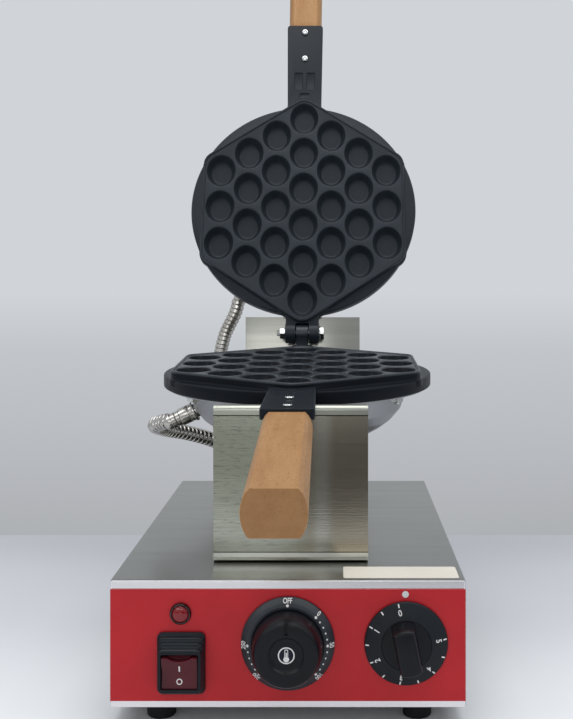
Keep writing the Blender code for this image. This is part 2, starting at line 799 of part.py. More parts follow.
def build_lamp():
    """Dark bezel ring with a lens in it."""
    wall = LAMP_BEZEL_RADIUS - LAMP_LENS_RADIUS
    bore = LAMP_LENS_RADIUS + SEAT_GAP
    tail = -LAMP_TAIL_LENGTH
    shelf = LAMP_BEZEL_HEIGHT / 3
    bezel_profile = (
        (0, shelf),
        (bore, shelf),
        (bore, LAMP_BEZEL_HEIGHT),
        (LAMP_BEZEL_RADIUS - wall / 3, LAMP_BEZEL_HEIGHT),
        (LAMP_BEZEL_RADIUS, LAMP_BEZEL_HEIGHT - wall / 3),
        (LAMP_BEZEL_RADIUS, SEAT_GAP),
        (LAMP_TAIL_RADIUS, SEAT_GAP),
        (LAMP_TAIL_RADIUS, tail),
        (0, tail),
    )
    lens_profile = (
        (0, LAMP_LENS_HEIGHT),
        (LAMP_LENS_RADIUS / 2, LAMP_LENS_HEIGHT - wall / 8),
        (LAMP_LENS_RADIUS, LAMP_BEZEL_HEIGHT),
        (LAMP_LENS_RADIUS, shelf + SEAT_GAP),
        (0, shelf + SEAT_GAP),
    )
    frame = panel_matrix(LAMP_X, LAMP_Z, PANEL_FACE)
    for name, profile, finish in (
        ("lamp_bezel", bezel_profile, "black_plastic"),
        ("lamp_lens", lens_profile, "lamp_amber"),
    ):
        add_object(name, turned_mesh(name, profile, ROUND_SIDES), finish).matrix_world = frame


def hood_section(width, top, bottom, depth):
    """One rounded rectangle of the switch hood, at a depth in front of the panel."""
    half = width / 2
    corners = ((-half, -bottom), (half, -bottom), (half, top), (-half, top))
    outline = rounded_outline(corners, SWITCH_CORNER, 3)
    return [(x, y, depth) for x, y in outline]


def build_switch_housing():
    """Hood that narrows to the front, with a stepped slope over the rocker and a well for it."""
    half_height = SWITCH_HEIGHT / 2
    sections = [
        hood_section(SWITCH_WIDTH, half_height, half_height, SEAT_GAP),
        hood_section(SWITCH_WIDTH, half_height, half_height, SWITCH_FLANGE),
    ]
    rise = (SWITCH_REACH - SWITCH_FLANGE) / SWITCH_STEPS
    for step in range(SWITCH_STEPS):
        share = (step + 0.5) / SWITCH_STEPS
        width = SWITCH_WIDTH + (SWITCH_FRONT_WIDTH - SWITCH_WIDTH) * share
        top = half_height + (SWITCH_FRONT_TOP - half_height) * share
        bottom = half_height + (SWITCH_FRONT_BOTTOM - half_height) * share
        low = SWITCH_FLANGE + rise * step
        sections.append(hood_section(width, top, bottom, low + rise / 8))
        sections.append(hood_section(width, top, bottom, low + rise))
    hood = loft_mesh("switch_housing", sections)
    tail = box_mesh(
        "switch_tail",
        (-SWITCH_BODY_WIDTH / 2, -SWITCH_BODY_HEIGHT / 2, -SWITCH_BODY_DEPTH),
        (SWITCH_BODY_WIDTH / 2, SWITCH_BODY_HEIGHT / 2, SWITCH_FLANGE),
    )
    well_low = rocker_centre() - ROCKER_HEIGHT / 2 - RUN_GAP
    well_high = rocker_centre() + ROCKER_HEIGHT / 2 + RUN_GAP
    well = box_mesh(
        "switch_well",
        (-ROCKER_WIDTH / 2 - RUN_GAP, well_low, SWITCH_REACH - ROCKER_WELL_DEPTH),
        (ROCKER_WIDTH / 2 + RUN_GAP, well_high, SWITCH_REACH + CUT_OVERRUN),
    )
    housing = cut("switch_housing", join("switch_housing", hood, [tail]), [well])
    node = add_object("switch_housing", housing, "black_plastic")
    node.matrix_world = panel_matrix(SWITCH_X, SWITCH_Z, PANEL_FACE)


def rocker_centre():
    """Middle height of the rocker in the hood's front."""
    return (SWITCH_FRONT_TOP - SWITCH_FRONT_BOTTOM) / 2


def build_rocker():
    """Paddle with a shallow V front, on an axis across the well; its lower half is pushed in."""
    half = ROCKER_HEIGHT / 2
    lean = math.tan(ROCKER_TILT)
    clear = ROCKER_CROWN / 2
    outline = [
        (-half + clear, ROCKER_THICKNESS + (half - clear) * lean),
        (0, ROCKER_THICKNESS - ROCKER_CROWN / 2),
        (half - clear, ROCKER_THICKNESS + (half - clear) * lean),
        (half - clear, 0),
        (ROCKER_PIVOT_DEPTH, -ROCKER_PIVOT_DEPTH),
        (-ROCKER_PIVOT_DEPTH, -ROCKER_PIVOT_DEPTH),
        (-half + clear, 0),
    ]
    sections = []
    for x in (-ROCKER_WIDTH / 2, ROCKER_WIDTH / 2):
        sections.append([(x, y, z) for y, z in outline])
    paddle = loft_mesh("switch_rocker", sections)
    depth = PANEL_FACE - SWITCH_REACH + ROCKER_PIVOT_DEPTH + ROCKER_THICKNESS / 2
    axis = panel_matrix(SWITCH_X, SWITCH_Z + rocker_centre(), depth)
    axis = axis @ Matrix.Rotation(ROCKER_TILT, 4, "X")
    holder = add_empty("rocker_axis", axis)
    add_object("switch_rocker", paddle, "rocker_red", holder)


def build_dial_ring():
    """Fixed conical ring round the thermostat knob."""
    bore = THERMOSTAT_KNOB_RADIUS + RUN_GAP
    profile = (
        (bore, DIAL_RING_HEIGHT),
        (bore + SHEET, DIAL_RING_HEIGHT),
        (DIAL_RING_RADIUS, DIAL_RING_EDGE),
        (DIAL_RING_RADIUS, SEAT_GAP),
        (bore, SEAT_GAP),
    )
    mesh = turned_mesh("thermostat_ring", profile, KNOB_SIDES)
    ring = add_object("thermostat_ring", mesh, "dial_plastic")
    ring.matrix_world = panel_matrix(THERMOSTAT_X, DIAL_Z, PANEL_FACE)


def socket_profile(low):
    """Inner points of a knob's shaft socket, from its mouth at a height to its end."""
    reach = low + SHAFT_DEPTH_IN_KNOB + SEAT_GAP
    return ((SHAFT_RADIUS + SEAT_GAP, low), (SHAFT_RADIUS + SEAT_GAP, reach), (0, reach))


def build_thermostat_knob():
    """Round knob with a chamfered front, a shallow dish and a pointer groove."""
    low = 2 * SEAT_GAP
    top = THERMOSTAT_KNOB_HEIGHT
    profile = (
        (0, top - KNOB_DISH_DEPTH),
        (KNOB_DISH_RADIUS - 2 * KNOB_DISH_DEPTH, top - KNOB_DISH_DEPTH),
        (KNOB_DISH_RADIUS, top),
        (THERMOSTAT_KNOB_TOP_RADIUS - KNOB_CHAMFER, top),
        (THERMOSTAT_KNOB_TOP_RADIUS, top - KNOB_CHAMFER),
        (THERMOSTAT_KNOB_RADIUS, low),
        *socket_profile(low),
    )
    knob = turned_mesh("thermostat_knob", profile, KNOB_SIDES)
    groove = box_mesh(
        "pointer_groove",
        (-KNOB_GROOVE_WIDTH / 2, KNOB_GROOVE_INNER, top - KNOB_GROOVE_DEPTH),
        (KNOB_GROOVE_WIDTH / 2, KNOB_GROOVE_OUTER, top + CUT_OVERRUN),
    )
    axis = add_empty("thermostat_axis", panel_matrix(THERMOSTAT_X, DIAL_Z, PANEL_FACE))
    add_object("thermostat_knob", cut("thermostat_knob", knob, [groove]), "black_plastic", axis)
    build_shaft("thermostat_shaft", axis)
    build_dial_body("thermostat_body", THERMOSTAT_X)


def build_timer_knob():
    """Knob with a conical dial skirt, a hub and a grip bar across it."""
    low = 2 * SEAT_GAP
    profile = (
        (0, HUB_HEIGHT),
        (HUB_RADIUS - SHEET, HUB_HEIGHT),
        (HUB_RADIUS, HUB_HEIGHT - SHEET),
        (HUB_RADIUS + SHEET, SKIRT_HEIGHT),
        (SKIRT_RADIUS, SKIRT_EDGE),
        (SKIRT_RADIUS, low),
        *socket_profile(low),
    )
    knob = turned_mesh("timer_knob", profile, KNOB_SIDES)
    sections = []
    for height, width, reach in (
        (HUB_HEIGHT - CUT_OVERRUN, GRIP_WIDTH, HUB_RADIUS - SHEET / 2),
        (GRIP_HEIGHT - SHEET, GRIP_TOP_WIDTH, HUB_RADIUS - SHEET),
        (GRIP_HEIGHT, GRIP_TOP_WIDTH - SHEET, HUB_RADIUS - 2 * SHEET),
    ):
        outline = []
        for side in (1, -1):
            for step in range(-3, 4):
                angle = math.asin(width / 2 / reach) * step / 3
                outline.append((reach * math.sin(angle) * side, reach * math.cos(angle) * side, height))
        sections.append(outline)
    grip = loft_mesh("timer_grip", sections)
    axis = panel_matrix(TIMER_X, DIAL_Z, PANEL_FACE) @ Matrix.Rotation(TIMER_ZERO_TURN, 4, "Z")
    holder = add_empty("timer_axis", axis)
    add_object("timer_knob", join("timer_knob", knob, [grip]), "black_plastic", holder)
    build_shaft("timer_shaft", holder)
    build_dial_body("timer_body", TIMER_X)


def build_shaft(name, axis):
    """Steel shaft from a knob's socket to the body behind the panel."""
    wall = PANEL_THICKNESS + SEAT_GAP + SHEET
    low = -wall - SEAT_GAP - SHAFT_TAIL
    high = 2 * SEAT_GAP + SHAFT_DEPTH_IN_KNOB
    shaft = rod_mesh(name, SHAFT_RADIUS, (0, 0, low), (0, 0, high), SMALL_SIDES)
    add_object(name, shaft, "bright_steel", axis)


def build_dial_body(name, x):
    """Round body behind the panel, with a bored boss through it."""
    wall = PANEL_THICKNESS + SEAT_GAP + SHEET
    face = -wall - SEAT_GAP
    bore = SHAFT_RADIUS + RUN_GAP
    profile = (
        (0, face - SHAFT_TAIL - RUN_GAP),
        (bore, face - SHAFT_TAIL - RUN_GAP),
        (bore, -SEAT_GAP),
        (DIAL_BOSS_RADIUS, -SEAT_GAP),
        (DIAL_BOSS_RADIUS, face),
        (DIAL_BODY_RADIUS, face),
        (DIAL_BODY_RADIUS, face - DIAL_BODY_LENGTH),
        (0, face - DIAL_BODY_LENGTH),
    )
    body = add_object(name, turned_mesh(name, profile, ROUND_SIDES), "brass")
    body.matrix_world = panel_matrix(x, DIAL_Z, PANEL_FACE)


# Stand.


def stand_plate(name, outer_face, top, foot_direction, flange, holes):
    """Sheet turned in to a foot and, where it has a flange, again at its top, with its bolt cutters."""
    low = BASE_TOP + SEAT_GAP
    half = STAND_WIDTH / 2

    def sheet(label, reach, bottom, upper):
        near, far = sorted((outer_face, outer_face + foot_direction * reach))
        return box_mesh(label, (-half, near, bottom), (half, far, upper))

    web = sheet(name, STAND_SHEET, low, top)
    turned_in = [sheet("foot", STAND_FOOT_LENGTH, low, low + STAND_SHEET)]
    if flange > STAND_SHEET:
        turned_in.append(sheet("top_flange", flange, top - STAND_SHEET, top))
    cutters = []
    for x, y in holes:
        start = (x, y, low - CUT_OVERRUN)
        end = (x, y, low + STAND_SHEET + CUT_OVERRUN)
        cutters.append(rod_mesh("bolt_hole", STAND_BOLT_RADIUS + SEAT_GAP, start, end, SMALL_SIDES))
    return join(name, web, turned_in), cutters


def build_stand():
    """The two plates and their bolts."""
    places = stand_bolt_places()
    front_holes = [place for name, place in places.items() if "front" in name]
    rear_holes = [place for name, place in places.items() if "rear" in name]
    front, cutters = stand_plate(
        "stand_front_plate", FRONT_PLATE_Y, FRONT_PLATE_TOP, 1, STAND_TOP_FLANGE, front_holes,
    )
    add_object("stand_front_plate", cut("stand_front_plate", front, cutters), "steel")
    rear_face = REAR_PLATE_FRONT + STAND_SHEET
    rear, cutters = stand_plate("stand_rear_plate", rear_face, REAR_PLATE_TOP, -1, 0, rear_holes)
    start = LOWER_MATRIX @ Vector((0, -KNUCKLE_RADIUS, -PIVOT_DROP))
    end = LOWER_MATRIX @ Vector((0, -KNUCKLE_RADIUS - PIVOT_SOCKET_DEPTH * 2, -PIVOT_DROP))
    cutters.append(rod_mesh("pivot_hole", PIVOT_RADIUS + SEAT_GAP, start, end, ROUND_SIDES))
    add_object("stand_rear_plate", cut("stand_rear_plate", rear, cutters), "steel")
    seat = BASE_TOP + 2 * SEAT_GAP + STAND_SHEET
    profile = (
        (0, STAND_BOLT_HEAD_HEIGHT),
        (STAND_BOLT_HEAD_RADIUS * BOLT_CROWN_SHARE, STAND_BOLT_HEAD_HEIGHT),
        (STAND_BOLT_HEAD_RADIUS, STAND_BOLT_HEAD_HEIGHT / 2),
        (STAND_BOLT_HEAD_RADIUS, 0),
        (STAND_BOLT_RADIUS, 0),
        (STAND_BOLT_RADIUS, -STAND_BOLT_LENGTH),
        (0, -STAND_BOLT_LENGTH),
    )
    for name, (x, y) in places.items():
        bolt = add_object(name, turned_mesh(name, profile, SMALL_SIDES), "bright_steel")
        bolt.location = (x, y, seat)


# Moulds.


def cup_centres():
    """Cup centres in seven columns, each column centred on the pattern."""
    centres = []
    middle = (len(CUP_COLUMNS) - 1) / 2
    for column, count in enumerate(CUP_COLUMNS):
        for row in range(count):
            across = (column - middle) * COLUMN_SPACING
            along = PATTERN_CENTRE + (row - (count - 1) / 2) * CUP_PITCH
            centres.append((across, along))
    return centres


def cup_cutter(across, along, lip):
    """Tapered oval cup: the wall follows an arc from the rim down to the flat floor."""
    depth_span = CUP_DEPTH - LAND_DROP
    levels = [(lip + CUT_OVERRUN, CUP_RIM_X, CUP_RIM_T)]
    for share in CUP_RING_SHARES:
        bulge = math.sqrt(1 - share * share)
        half_x = CUP_FLOOR_X + (CUP_RIM_X - CUP_FLOOR_X) * bulge
        half_t = CUP_FLOOR_T + (CUP_RIM_T - CUP_FLOOR_T) * bulge
        levels.append((lip - LAND_DROP - depth_span * share, half_x, half_t))
    sections = []
    for height, half_x, half_t in levels:
        ring = []
        for side in range(CUP_SIDES):
            angle = 2 * math.pi * (side + 0.5) / CUP_SIDES
            ring.append((across + half_x * math.cos(angle), along + half_t * math.sin(angle), height))
        sections.append(ring)
    return loft_mesh("cup", sections)


def block_outline(inset):
    """The hexagon block's outline, drawn in by an inset."""
    columns = (len(CUP_COLUMNS) - 1) / 2
    half_width = columns * COLUMN_SPACING + CUP_RIM_X + BLOCK_SIDE_MARGIN - inset
    slope = math.atan2(BLOCK_TIP - BLOCK_SHOULDER, half_width + inset)
    tip = BLOCK_TIP - inset / math.cos(slope)
    shoulder = tip - half_width * math.tan(slope)
    corners = (
        (0, tip), (-half_width, shoulder), (-half_width, -shoulder),
        (0, -tip), (half_width, -shoulder), (half_width, shoulder),
    )
    outline = rounded_outline(corners, BLOCK_CORNER_RADIUS - inset, BLOCK_CORNER_STEPS)
    return [(x, y + PATTERN_CENTRE) for x, y in outline]


def neck_pieces(lip):
    """The neck's outer bar, and the cutters for its channel and recesses."""
    top = lip - NECK_TOP
    bottom = lip - NECK_BOTTOM
    bar = []
    for along, width in ((NECK_START, NECK_START_WIDTH), (NECK_END, NECK_END_WIDTH)):
        half = width / 2
        edge = NECK_PLATE / 2
        bar.append([
            (-half, along, bottom), (half, along, bottom), (half, along, top - edge),
            (half - edge, along, top), (edge - half, along, top), (-half, along, top - edge),
        ])
    channel = []
    for along in (CHANNEL_START, NECK_END + CUT_OVERRUN):
        share = (along - NECK_START) / (NECK_END - NECK_START)
        half = (NECK_START_WIDTH + (NECK_END_WIDTH - NECK_START_WIDTH) * share) / 2 - NECK_WALL
        channel.append([
            (-half, along, bottom - CUT_OVERRUN), (half, along, bottom - CUT_OVERRUN),
            (half, along, bottom), (CHANNEL_TOP_WIDTH / 2, along, top - NECK_PLATE),
            (-CHANNEL_TOP_WIDTH / 2, along, top - NECK_PLATE), (-half, along, bottom),
        ])
    cutters = [loft_mesh("channel", channel)]
    recesses = (
        (-RECESS_SPREAD / 2, RECESS_CENTRE, RECESS_WIDTH, RECESS_LENGTH),
        (RECESS_SPREAD / 2, RECESS_CENTRE, RECESS_WIDTH, RECESS_LENGTH),
        (0, SMALL_RECESS_CENTRE, SMALL_RECESS_WIDTH, SMALL_RECESS_LENGTH),
    )
    for across, along, width, length in recesses:
        low = (across - width / 2, along - length / 2, top - RECESS_DEPTH)
        high = (across + width / 2, along + length / 2, top + CUT_OVERRUN)
        cutters.append(box_mesh("recess", low, high))
    for along in SCREW_PLACES:
        start = (0, along, top - NECK_PLATE - CUT_OVERRUN)
        end = (0, along, top + CUT_OVERRUN)
        cutters.append(rod_mesh("screw_hole", SCREW_SHANK_RADIUS + SEAT_GAP, start, end, SMALL_SIDES))
    return loft_mesh("neck", bar), cutters


def stud_places(lip):
    """A cover's four studs, across and along the mould, named as seen from the front."""
    places = {}
    right = 1 if lip > 0 else -1
    across = STUD_CIRCLE * math.cos(STUD_TURN)
    along = STUD_CIRCLE * math.sin(STUD_TURN)
    for side, sign in (("left", -right), ("right", right)):
        places[f"handle_{side}"] = (across * sign, DISC_CENTRE + along)
        places[f"hinge_{side}"] = (across * sign, DISC_CENTRE - along)
    return places


def mould_body(name, lip):
    """Flange disc, hexagon block and neck as one casting, and the cutters that all moulds share."""
    disc = rod_mesh(
        name, DISC_RADIUS,
        (0, DISC_CENTRE, lip - DISC_BOTTOM), (0, DISC_CENTRE, lip - DISC_TOP), DISC_SIDES,
    )
    block = prism_mesh("block", block_outline(0), lip - DISC_TOP - NECK_PLATE, lip)
    neck, cutters = neck_pieces(lip)
    land = prism_mesh("land", block_outline(LIP_WIDTH), lip - LAND_DROP, lip + CUT_OVERRUN)
    cups = together("cups", [cup_cutter(across, along, lip) for across, along in cup_centres()])
    studs = []
    for across, along in stud_places(lip).values():
        start = (across, along, lip - DISC_BOTTOM - CUT_OVERRUN)
        end = (across, along, lip - DISC_BOTTOM + STUD_SOCKET)
        studs.append(rod_mesh("stud_socket", STUD_RADIUS + SEAT_GAP, start, end, SMALL_SIDES))
    return disc, [block, neck], [*cutters, *studs, land, cups]


def build_lower_mould():
    """Lower casting, with a knuckle over a lug that the rear pivot enters."""
    lip = LOWER_LIP
    body, additions, cutters = mould_body("lower_mould", lip)
    half = KNUCKLE_WIDTH / 2
    floor = lip - DISC_BOTTOM
    knuckle = rod_mesh("knuckle", KNUCKLE_RADIUS, (-half, 0, 0), (half, 0, 0), ROUND_SIDES)
    web_reach = KNUCKLE_RADIUS - WEB_INSET
    web_half = half - BOSS_PROUD
    web = box_mesh("web", (-web_half, -web_reach, -PIVOT_DROP), (web_half, web_reach, 0))
    lug = box_mesh(
        "lug",
        (-LUG_WIDTH / 2, -KNUCKLE_RADIUS, floor + LUG_RISE),
        (LUG_WIDTH / 2, LUG_END, lip - LUG_DROP),
    )
    bore = rod_mesh(
        "pin_bore", PIN_RADIUS + RUN_GAP,
        (-half - CUT_OVERRUN, 0, 0), (half + CUT_OVERRUN, 0, 0), ROUND_SIDES,
    )
    socket = rod_mesh(
        "pivot_socket", PIVOT_RADIUS + SEAT_GAP,
        (0, -KNUCKLE_RADIUS - CUT_OVERRUN, -PIVOT_DROP),
        (0, -KNUCKLE_RADIUS + PIVOT_SOCKET_DEPTH, -PIVOT_DROP), ROUND_SIDES,
    )
    mesh = join("lower_mould", body, [*additions, lug, web, knuckle])
    mesh = cut("lower_mould", mesh, [bore, socket, *cutters])
    add_object("lower_mould", mesh, "mould_coating", LOWER_FRAME)


def build_upper_mould():
    """Upper casting, with a fork whose two ears stand round the knuckle."""
    lip = UPPER_LIP
    body, additions, cutters = mould_body("upper_mould", lip)
    half = FORK_WIDTH / 2
    floor = lip - DISC_BOTTOM
    ears = rod_mesh("ears", FORK_EAR_RADIUS, (-half, 0, 0), (half, 0, 0), ROUND_SIDES)
    arm = half - BOSS_PROUD
    arms = box_mesh("arms", (-arm, 0, floor + LUG_RISE), (arm, FORK_ARM_END, FORK_ARM_TOP))
    slot = box_mesh(
        "slot",
        (-FORK_SLOT / 2, -FORK_EAR_RADIUS - CUT_OVERRUN, -FORK_EAR_RADIUS - CUT_OVERRUN),
        (FORK_SLOT / 2, FORK_SLOT_END, FORK_EAR_RADIUS + CUT_OVERRUN),
    )
    bore = rod_mesh(
        "pin_bore", PIN_RADIUS + RUN_GAP,
        (-half - CUT_OVERRUN, 0, 0), (half + CUT_OVERRUN, 0, 0), ROUND_SIDES,
    )
    fork = cut("fork", join("fork", arms, [ears]), [slot, bore])
    mesh = join("upper_mould", body, [*additions, fork])
    mesh = cut("upper_mould", mesh, cutters)
    add_object("upper_mould", mesh, "mould_coating", UPPER_FRAME)


def dome_mesh(name, lip, collar_turn):
    """Turned bowl of thin sheet with a flange, holes for its studs and one for the hose collar."""
    top = lip - DISC_BOTTOM - SEAT_GAP
    outer = [(DOME_FLANGE_RADIUS, -DOME_SHEET)]
    outer += [(radius, -DOME_SHEET - depth) for radius, depth in DOME_PROFILE]
    outer.append((0, outer[-1][1]))
    inner = [(0, outer[-1][1] + DOME_SHEET)]
    for radius, depth in reversed(DOME_PROFILE):
        inner.append((radius - DOME_SHEET, -depth))
    profile = [*inner, (DOME_FLANGE_RADIUS, 0), *outer]
    bowl = turned_mesh(name, profile, DOME_SIDES)
    bowl = placed(bowl, Matrix.Translation((0, DISC_CENTRE, top)))
    cutters = []
    for across, along in stud_places(lip).values():
        start = (across, along, top - DOME_SHEET - CUT_OVERRUN)
        end = (across, along, top + CUT_OVERRUN)
        cutters.append(rod_mesh("stud_hole", STUD_RADIUS + SEAT_GAP, start, end, SMALL_SIDES))
    axis = collar_matrix(lip, collar_turn)
    hole = rod_mesh(
        "collar_hole", COLLAR_TAIL_RADIUS + SEAT_GAP,
        (0, 0, -COLLAR_TAIL * 2), (0, 0, COLLAR_TAIL * 2), ROUND_SIDES,
    )
    cutters.append(placed(hole, axis))
    return cut(name, bowl, cutters)


def collar_matrix(lip, turn):
    """Seat of a hose collar on the cover, with Z pointing out along the hose."""
    outward = Vector((math.cos(turn), math.sin(turn), 0))
    direction = outward * math.cos(COLLAR_DIP) - Vector((0, 0, math.sin(COLLAR_DIP)))
    seat = outward * COLLAR_SEAT_RADIUS
    point = Vector((seat.x, seat.y + DISC_CENTRE, lip - DISC_BOTTOM - COLLAR_DEPTH))
    return Matrix.Translation(point) @ direction.to_track_quat("Z", "Y").to_matrix().to_4x4()


def build_cover(side, lip, frame, collar_turn):
    """Cover, heater ring, nuts and hose collar under one mould."""
    add_object(f"{side}_dome", dome_mesh(f"{side}_dome", lip, collar_turn), "cover_steel", frame)
    top = lip - DISC_BOTTOM - SEAT_GAP
    heater_profile = (
        (HEATER_INNER_RADIUS, 0), (HEATER_OUTER_RADIUS, 0),
        (HEATER_OUTER_RADIUS, -HEATER_HEIGHT), (HEATER_INNER_RADIUS, -HEATER_HEIGHT),
    )
    heater = turned_mesh(f"{side}_heater", heater_profile, DOME_SIDES)
    heater = placed(heater, Matrix.Translation((0, DISC_CENTRE, top)))
    add_object(f"{side}_heater", heater, "heater", frame)
    seat = top - DOME_SHEET - SEAT_GAP
    for label, (across, along) in stud_places(lip).items():
        name = f"{side}_cover_nut_{label}"
        low = (across, along, seat - NUT_HEIGHT)
        nut = rod_mesh(name, NUT_RADIUS, low, (across, along, seat), HEX_SIDES)
        start = (across, along, seat - NUT_HEIGHT - STUD_TAIL)
        end = (across, along, lip - DISC_BOTTOM + STUD_SOCKET - SEAT_GAP)
        stud = rod_mesh("stud", STUD_RADIUS, start, end, SMALL_SIDES)
        add_object(name, join(name, nut, [stud]), "bright_steel", frame)
    collar = turned_mesh(f"{side}_hose_collar", collar_profile(), ROUND_SIDES)
    collar = placed(collar, collar_matrix(lip, collar_turn))
    add_object(f"{side}_hose_collar", collar, "bright_steel", frame)


def collar_profile():
    """Collar with a rim at the cover and a bore that the hose sinks into."""
    bore = HOSE_RADIUS + SEAT_GAP
    shoulder = COLLAR_LENGTH - HOSE_SINK
    return (
        (bore, COLLAR_LENGTH),
        (COLLAR_RADIUS, COLLAR_LENGTH),
        (COLLAR_RADIUS, COLLAR_SEAT_LIFT + COLLAR_RIM),
        (COLLAR_RIM_RADIUS, COLLAR_SEAT_LIFT + COLLAR_RIM),
        (COLLAR_RIM_RADIUS, COLLAR_SEAT_LIFT),
        (COLLAR_TAIL_RADIUS, COLLAR_SEAT_LIFT),
        (COLLAR_TAIL_RADIUS, -COLLAR_TAIL),
        (COLLAR_TAIL_BORE, -COLLAR_TAIL),
        (COLLAR_TAIL_BORE, shoulder),
        (bore, shoulder),
    )


def handle_mesh(name, lip):
    """Wood handle: a bulging octagon section that widens to a rounded end, with a flat tang."""
    drop = HANDLE_DROOP
    start = Vector((0, NECK_END + SEAT_GAP, lip - NECK_TOP - HANDLE_TOP_STEP))
    along = Vector((0, math.cos(drop), -math.sin(drop)))
    down = Vector((0, -math.sin(drop), -math.cos(drop)))
    sections = []
    stations = [share / HANDLE_STATIONS for share in range(HANDLE_STATIONS + 1)]
    round_start = 1 - HANDLE_END_ROUND / HANDLE_LENGTH
    stations[-1] = round_start
    stations.append(1.0)
    for share in stations:
        shrink = HANDLE_END_ROUND / 2 if share > round_start else 0
        width = HANDLE_START_WIDTH + (HANDLE_END_WIDTH - HANDLE_START_WIDTH) * share - 2 * shrink
        height = HANDLE_START_HEIGHT + (HANDLE_END_HEIGHT - HANDLE_START_HEIGHT) * share
        flat = HANDLE_FLAT_WIDTH / 2 - shrink
        floor = HANDLE_FLOOR_WIDTH / 2 - shrink
        half = width / 2
        side = half - HANDLE_END_ROUND / 2
        chamfer = HANDLE_CHAMFER_DROP
        points = (
            (-flat, shrink), (flat, shrink), (side, chamfer), (half, height / 2),
            (side, height - chamfer), (floor, height - shrink), (-floor, height - shrink),
            (-side, height - chamfer), (-half, height / 2), (-side, chamfer),
        )
        origin = start + along * (HANDLE_LENGTH * share)
        drop_line = down if share > 0 else Vector((0, 0, -1))
        sections.append([
            origin + Vector((across, 0, 0)) + drop_line * depth for across, depth in points
        ])
    handle = loft_mesh(name, sections)
    tang = []
    top = lip - NECK_TOP - NECK_PLATE - SEAT_GAP
    bottom = lip - NECK_BOTTOM + TANG_BOTTOM_RISE
    for distance in (TANG_START, NECK_END + 4 * HANDLE_TOP_STEP):
        share = (distance - NECK_START) / (NECK_END - NECK_START)
        half = (NECK_START_WIDTH + (NECK_END_WIDTH - NECK_START_WIDTH) * share) / 2
        half = half - NECK_WALL - TANG_WALL_GAP - TANG_BOTTOM_RISE
        shoulder = CHANNEL_TOP_WIDTH / 2 - TANG_WALL_GAP
        tang.append([
            (-half, distance, bottom), (half, distance, bottom),
            (shoulder, distance, top), (-shoulder, distance, top),
        ])
    mesh = join(name, handle, [loft_mesh("tang", tang)])
    cutters = []
    for place in SCREW_PLACES:
        low = (0, place, top - SCREW_LENGTH)
        high = (0, place, top + CUT_OVERRUN)
        cutters.append(rod_mesh("screw_hole", SCREW_SHANK_RADIUS + SEAT_GAP, low, high, SMALL_SIDES))
    return cut(name, mesh, cutters)


def build_handle(side, lip, frame):
    """One wood handle and its two screws."""
    add_object(f"{side}_handle", handle_mesh(f"{side}_handle", lip), "wood", frame)
    seat = lip - NECK_TOP + SEAT_GAP
    profile = (
        (0, SCREW_HEAD_HEIGHT),
        (SCREW_HEAD_RADIUS / 2, SCREW_HEAD_HEIGHT),
        (SCREW_HEAD_RADIUS, SCREW_HEAD_HEIGHT / 3),
        (SCREW_HEAD_RADIUS, 0),
        (SCREW_SHANK_RADIUS, 0),
        (SCREW_SHANK_RADIUS, -SCREW_LENGTH),
        (0, -SCREW_LENGTH),
    )
    for label, place in zip(("inner", "outer"), SCREW_PLACES):
        name = f"{side}_handle_screw_{label}"
        screw = turned_mesh(name, profile, SMALL_SIDES)
        screw = placed(screw, Matrix.Translation((0, place, seat)))
        add_object(name, screw, "bright_steel", frame)


def build_hinge_pin():
    """Pin through fork and knuckle, with a head at the right and a nut at the left."""
    side = FORK_WIDTH / 2 + RUN_GAP
    turn = Matrix.Translation(HINGE_POINT) @ Matrix.Rotation(math.pi / 2, 4, "Y")
    end = -side - PIN_NUT_HEIGHT - PIN_TAIL
    profile = (
        (0, side + PIN_HEAD_HEIGHT),
        (PIN_HEAD_RADIUS * BOLT_CROWN_SHARE, side + PIN_HEAD_HEIGHT),
        (PIN_HEAD_RADIUS, side + PIN_HEAD_HEIGHT / 2),
        (PIN_HEAD_RADIUS, side),
        (PIN_RADIUS, side),
        (PIN_RADIUS, end),
        (0, end),
    )
    pin = add_object("hinge_pin", turned_mesh("hinge_pin", profile, ROUND_SIDES), "bright_steel")
    pin.matrix_world = turn
    low = -side - PIN_NUT_HEIGHT
    nut = rod_mesh("hinge_nut", PIN_NUT_RADIUS, (0, 0, low), (0, 0, -side), HEX_SIDES)
    bore = rod_mesh(
        "nut_bore", PIN_RADIUS + SEAT_GAP,
        (0, 0, low - CUT_OVERRUN), (0, 0, -side + CUT_OVERRUN), ROUND_SIDES,
    )
    add_object("hinge_nut", cut("hinge_nut", nut, [bore]), "bright_steel").matrix_world = turn


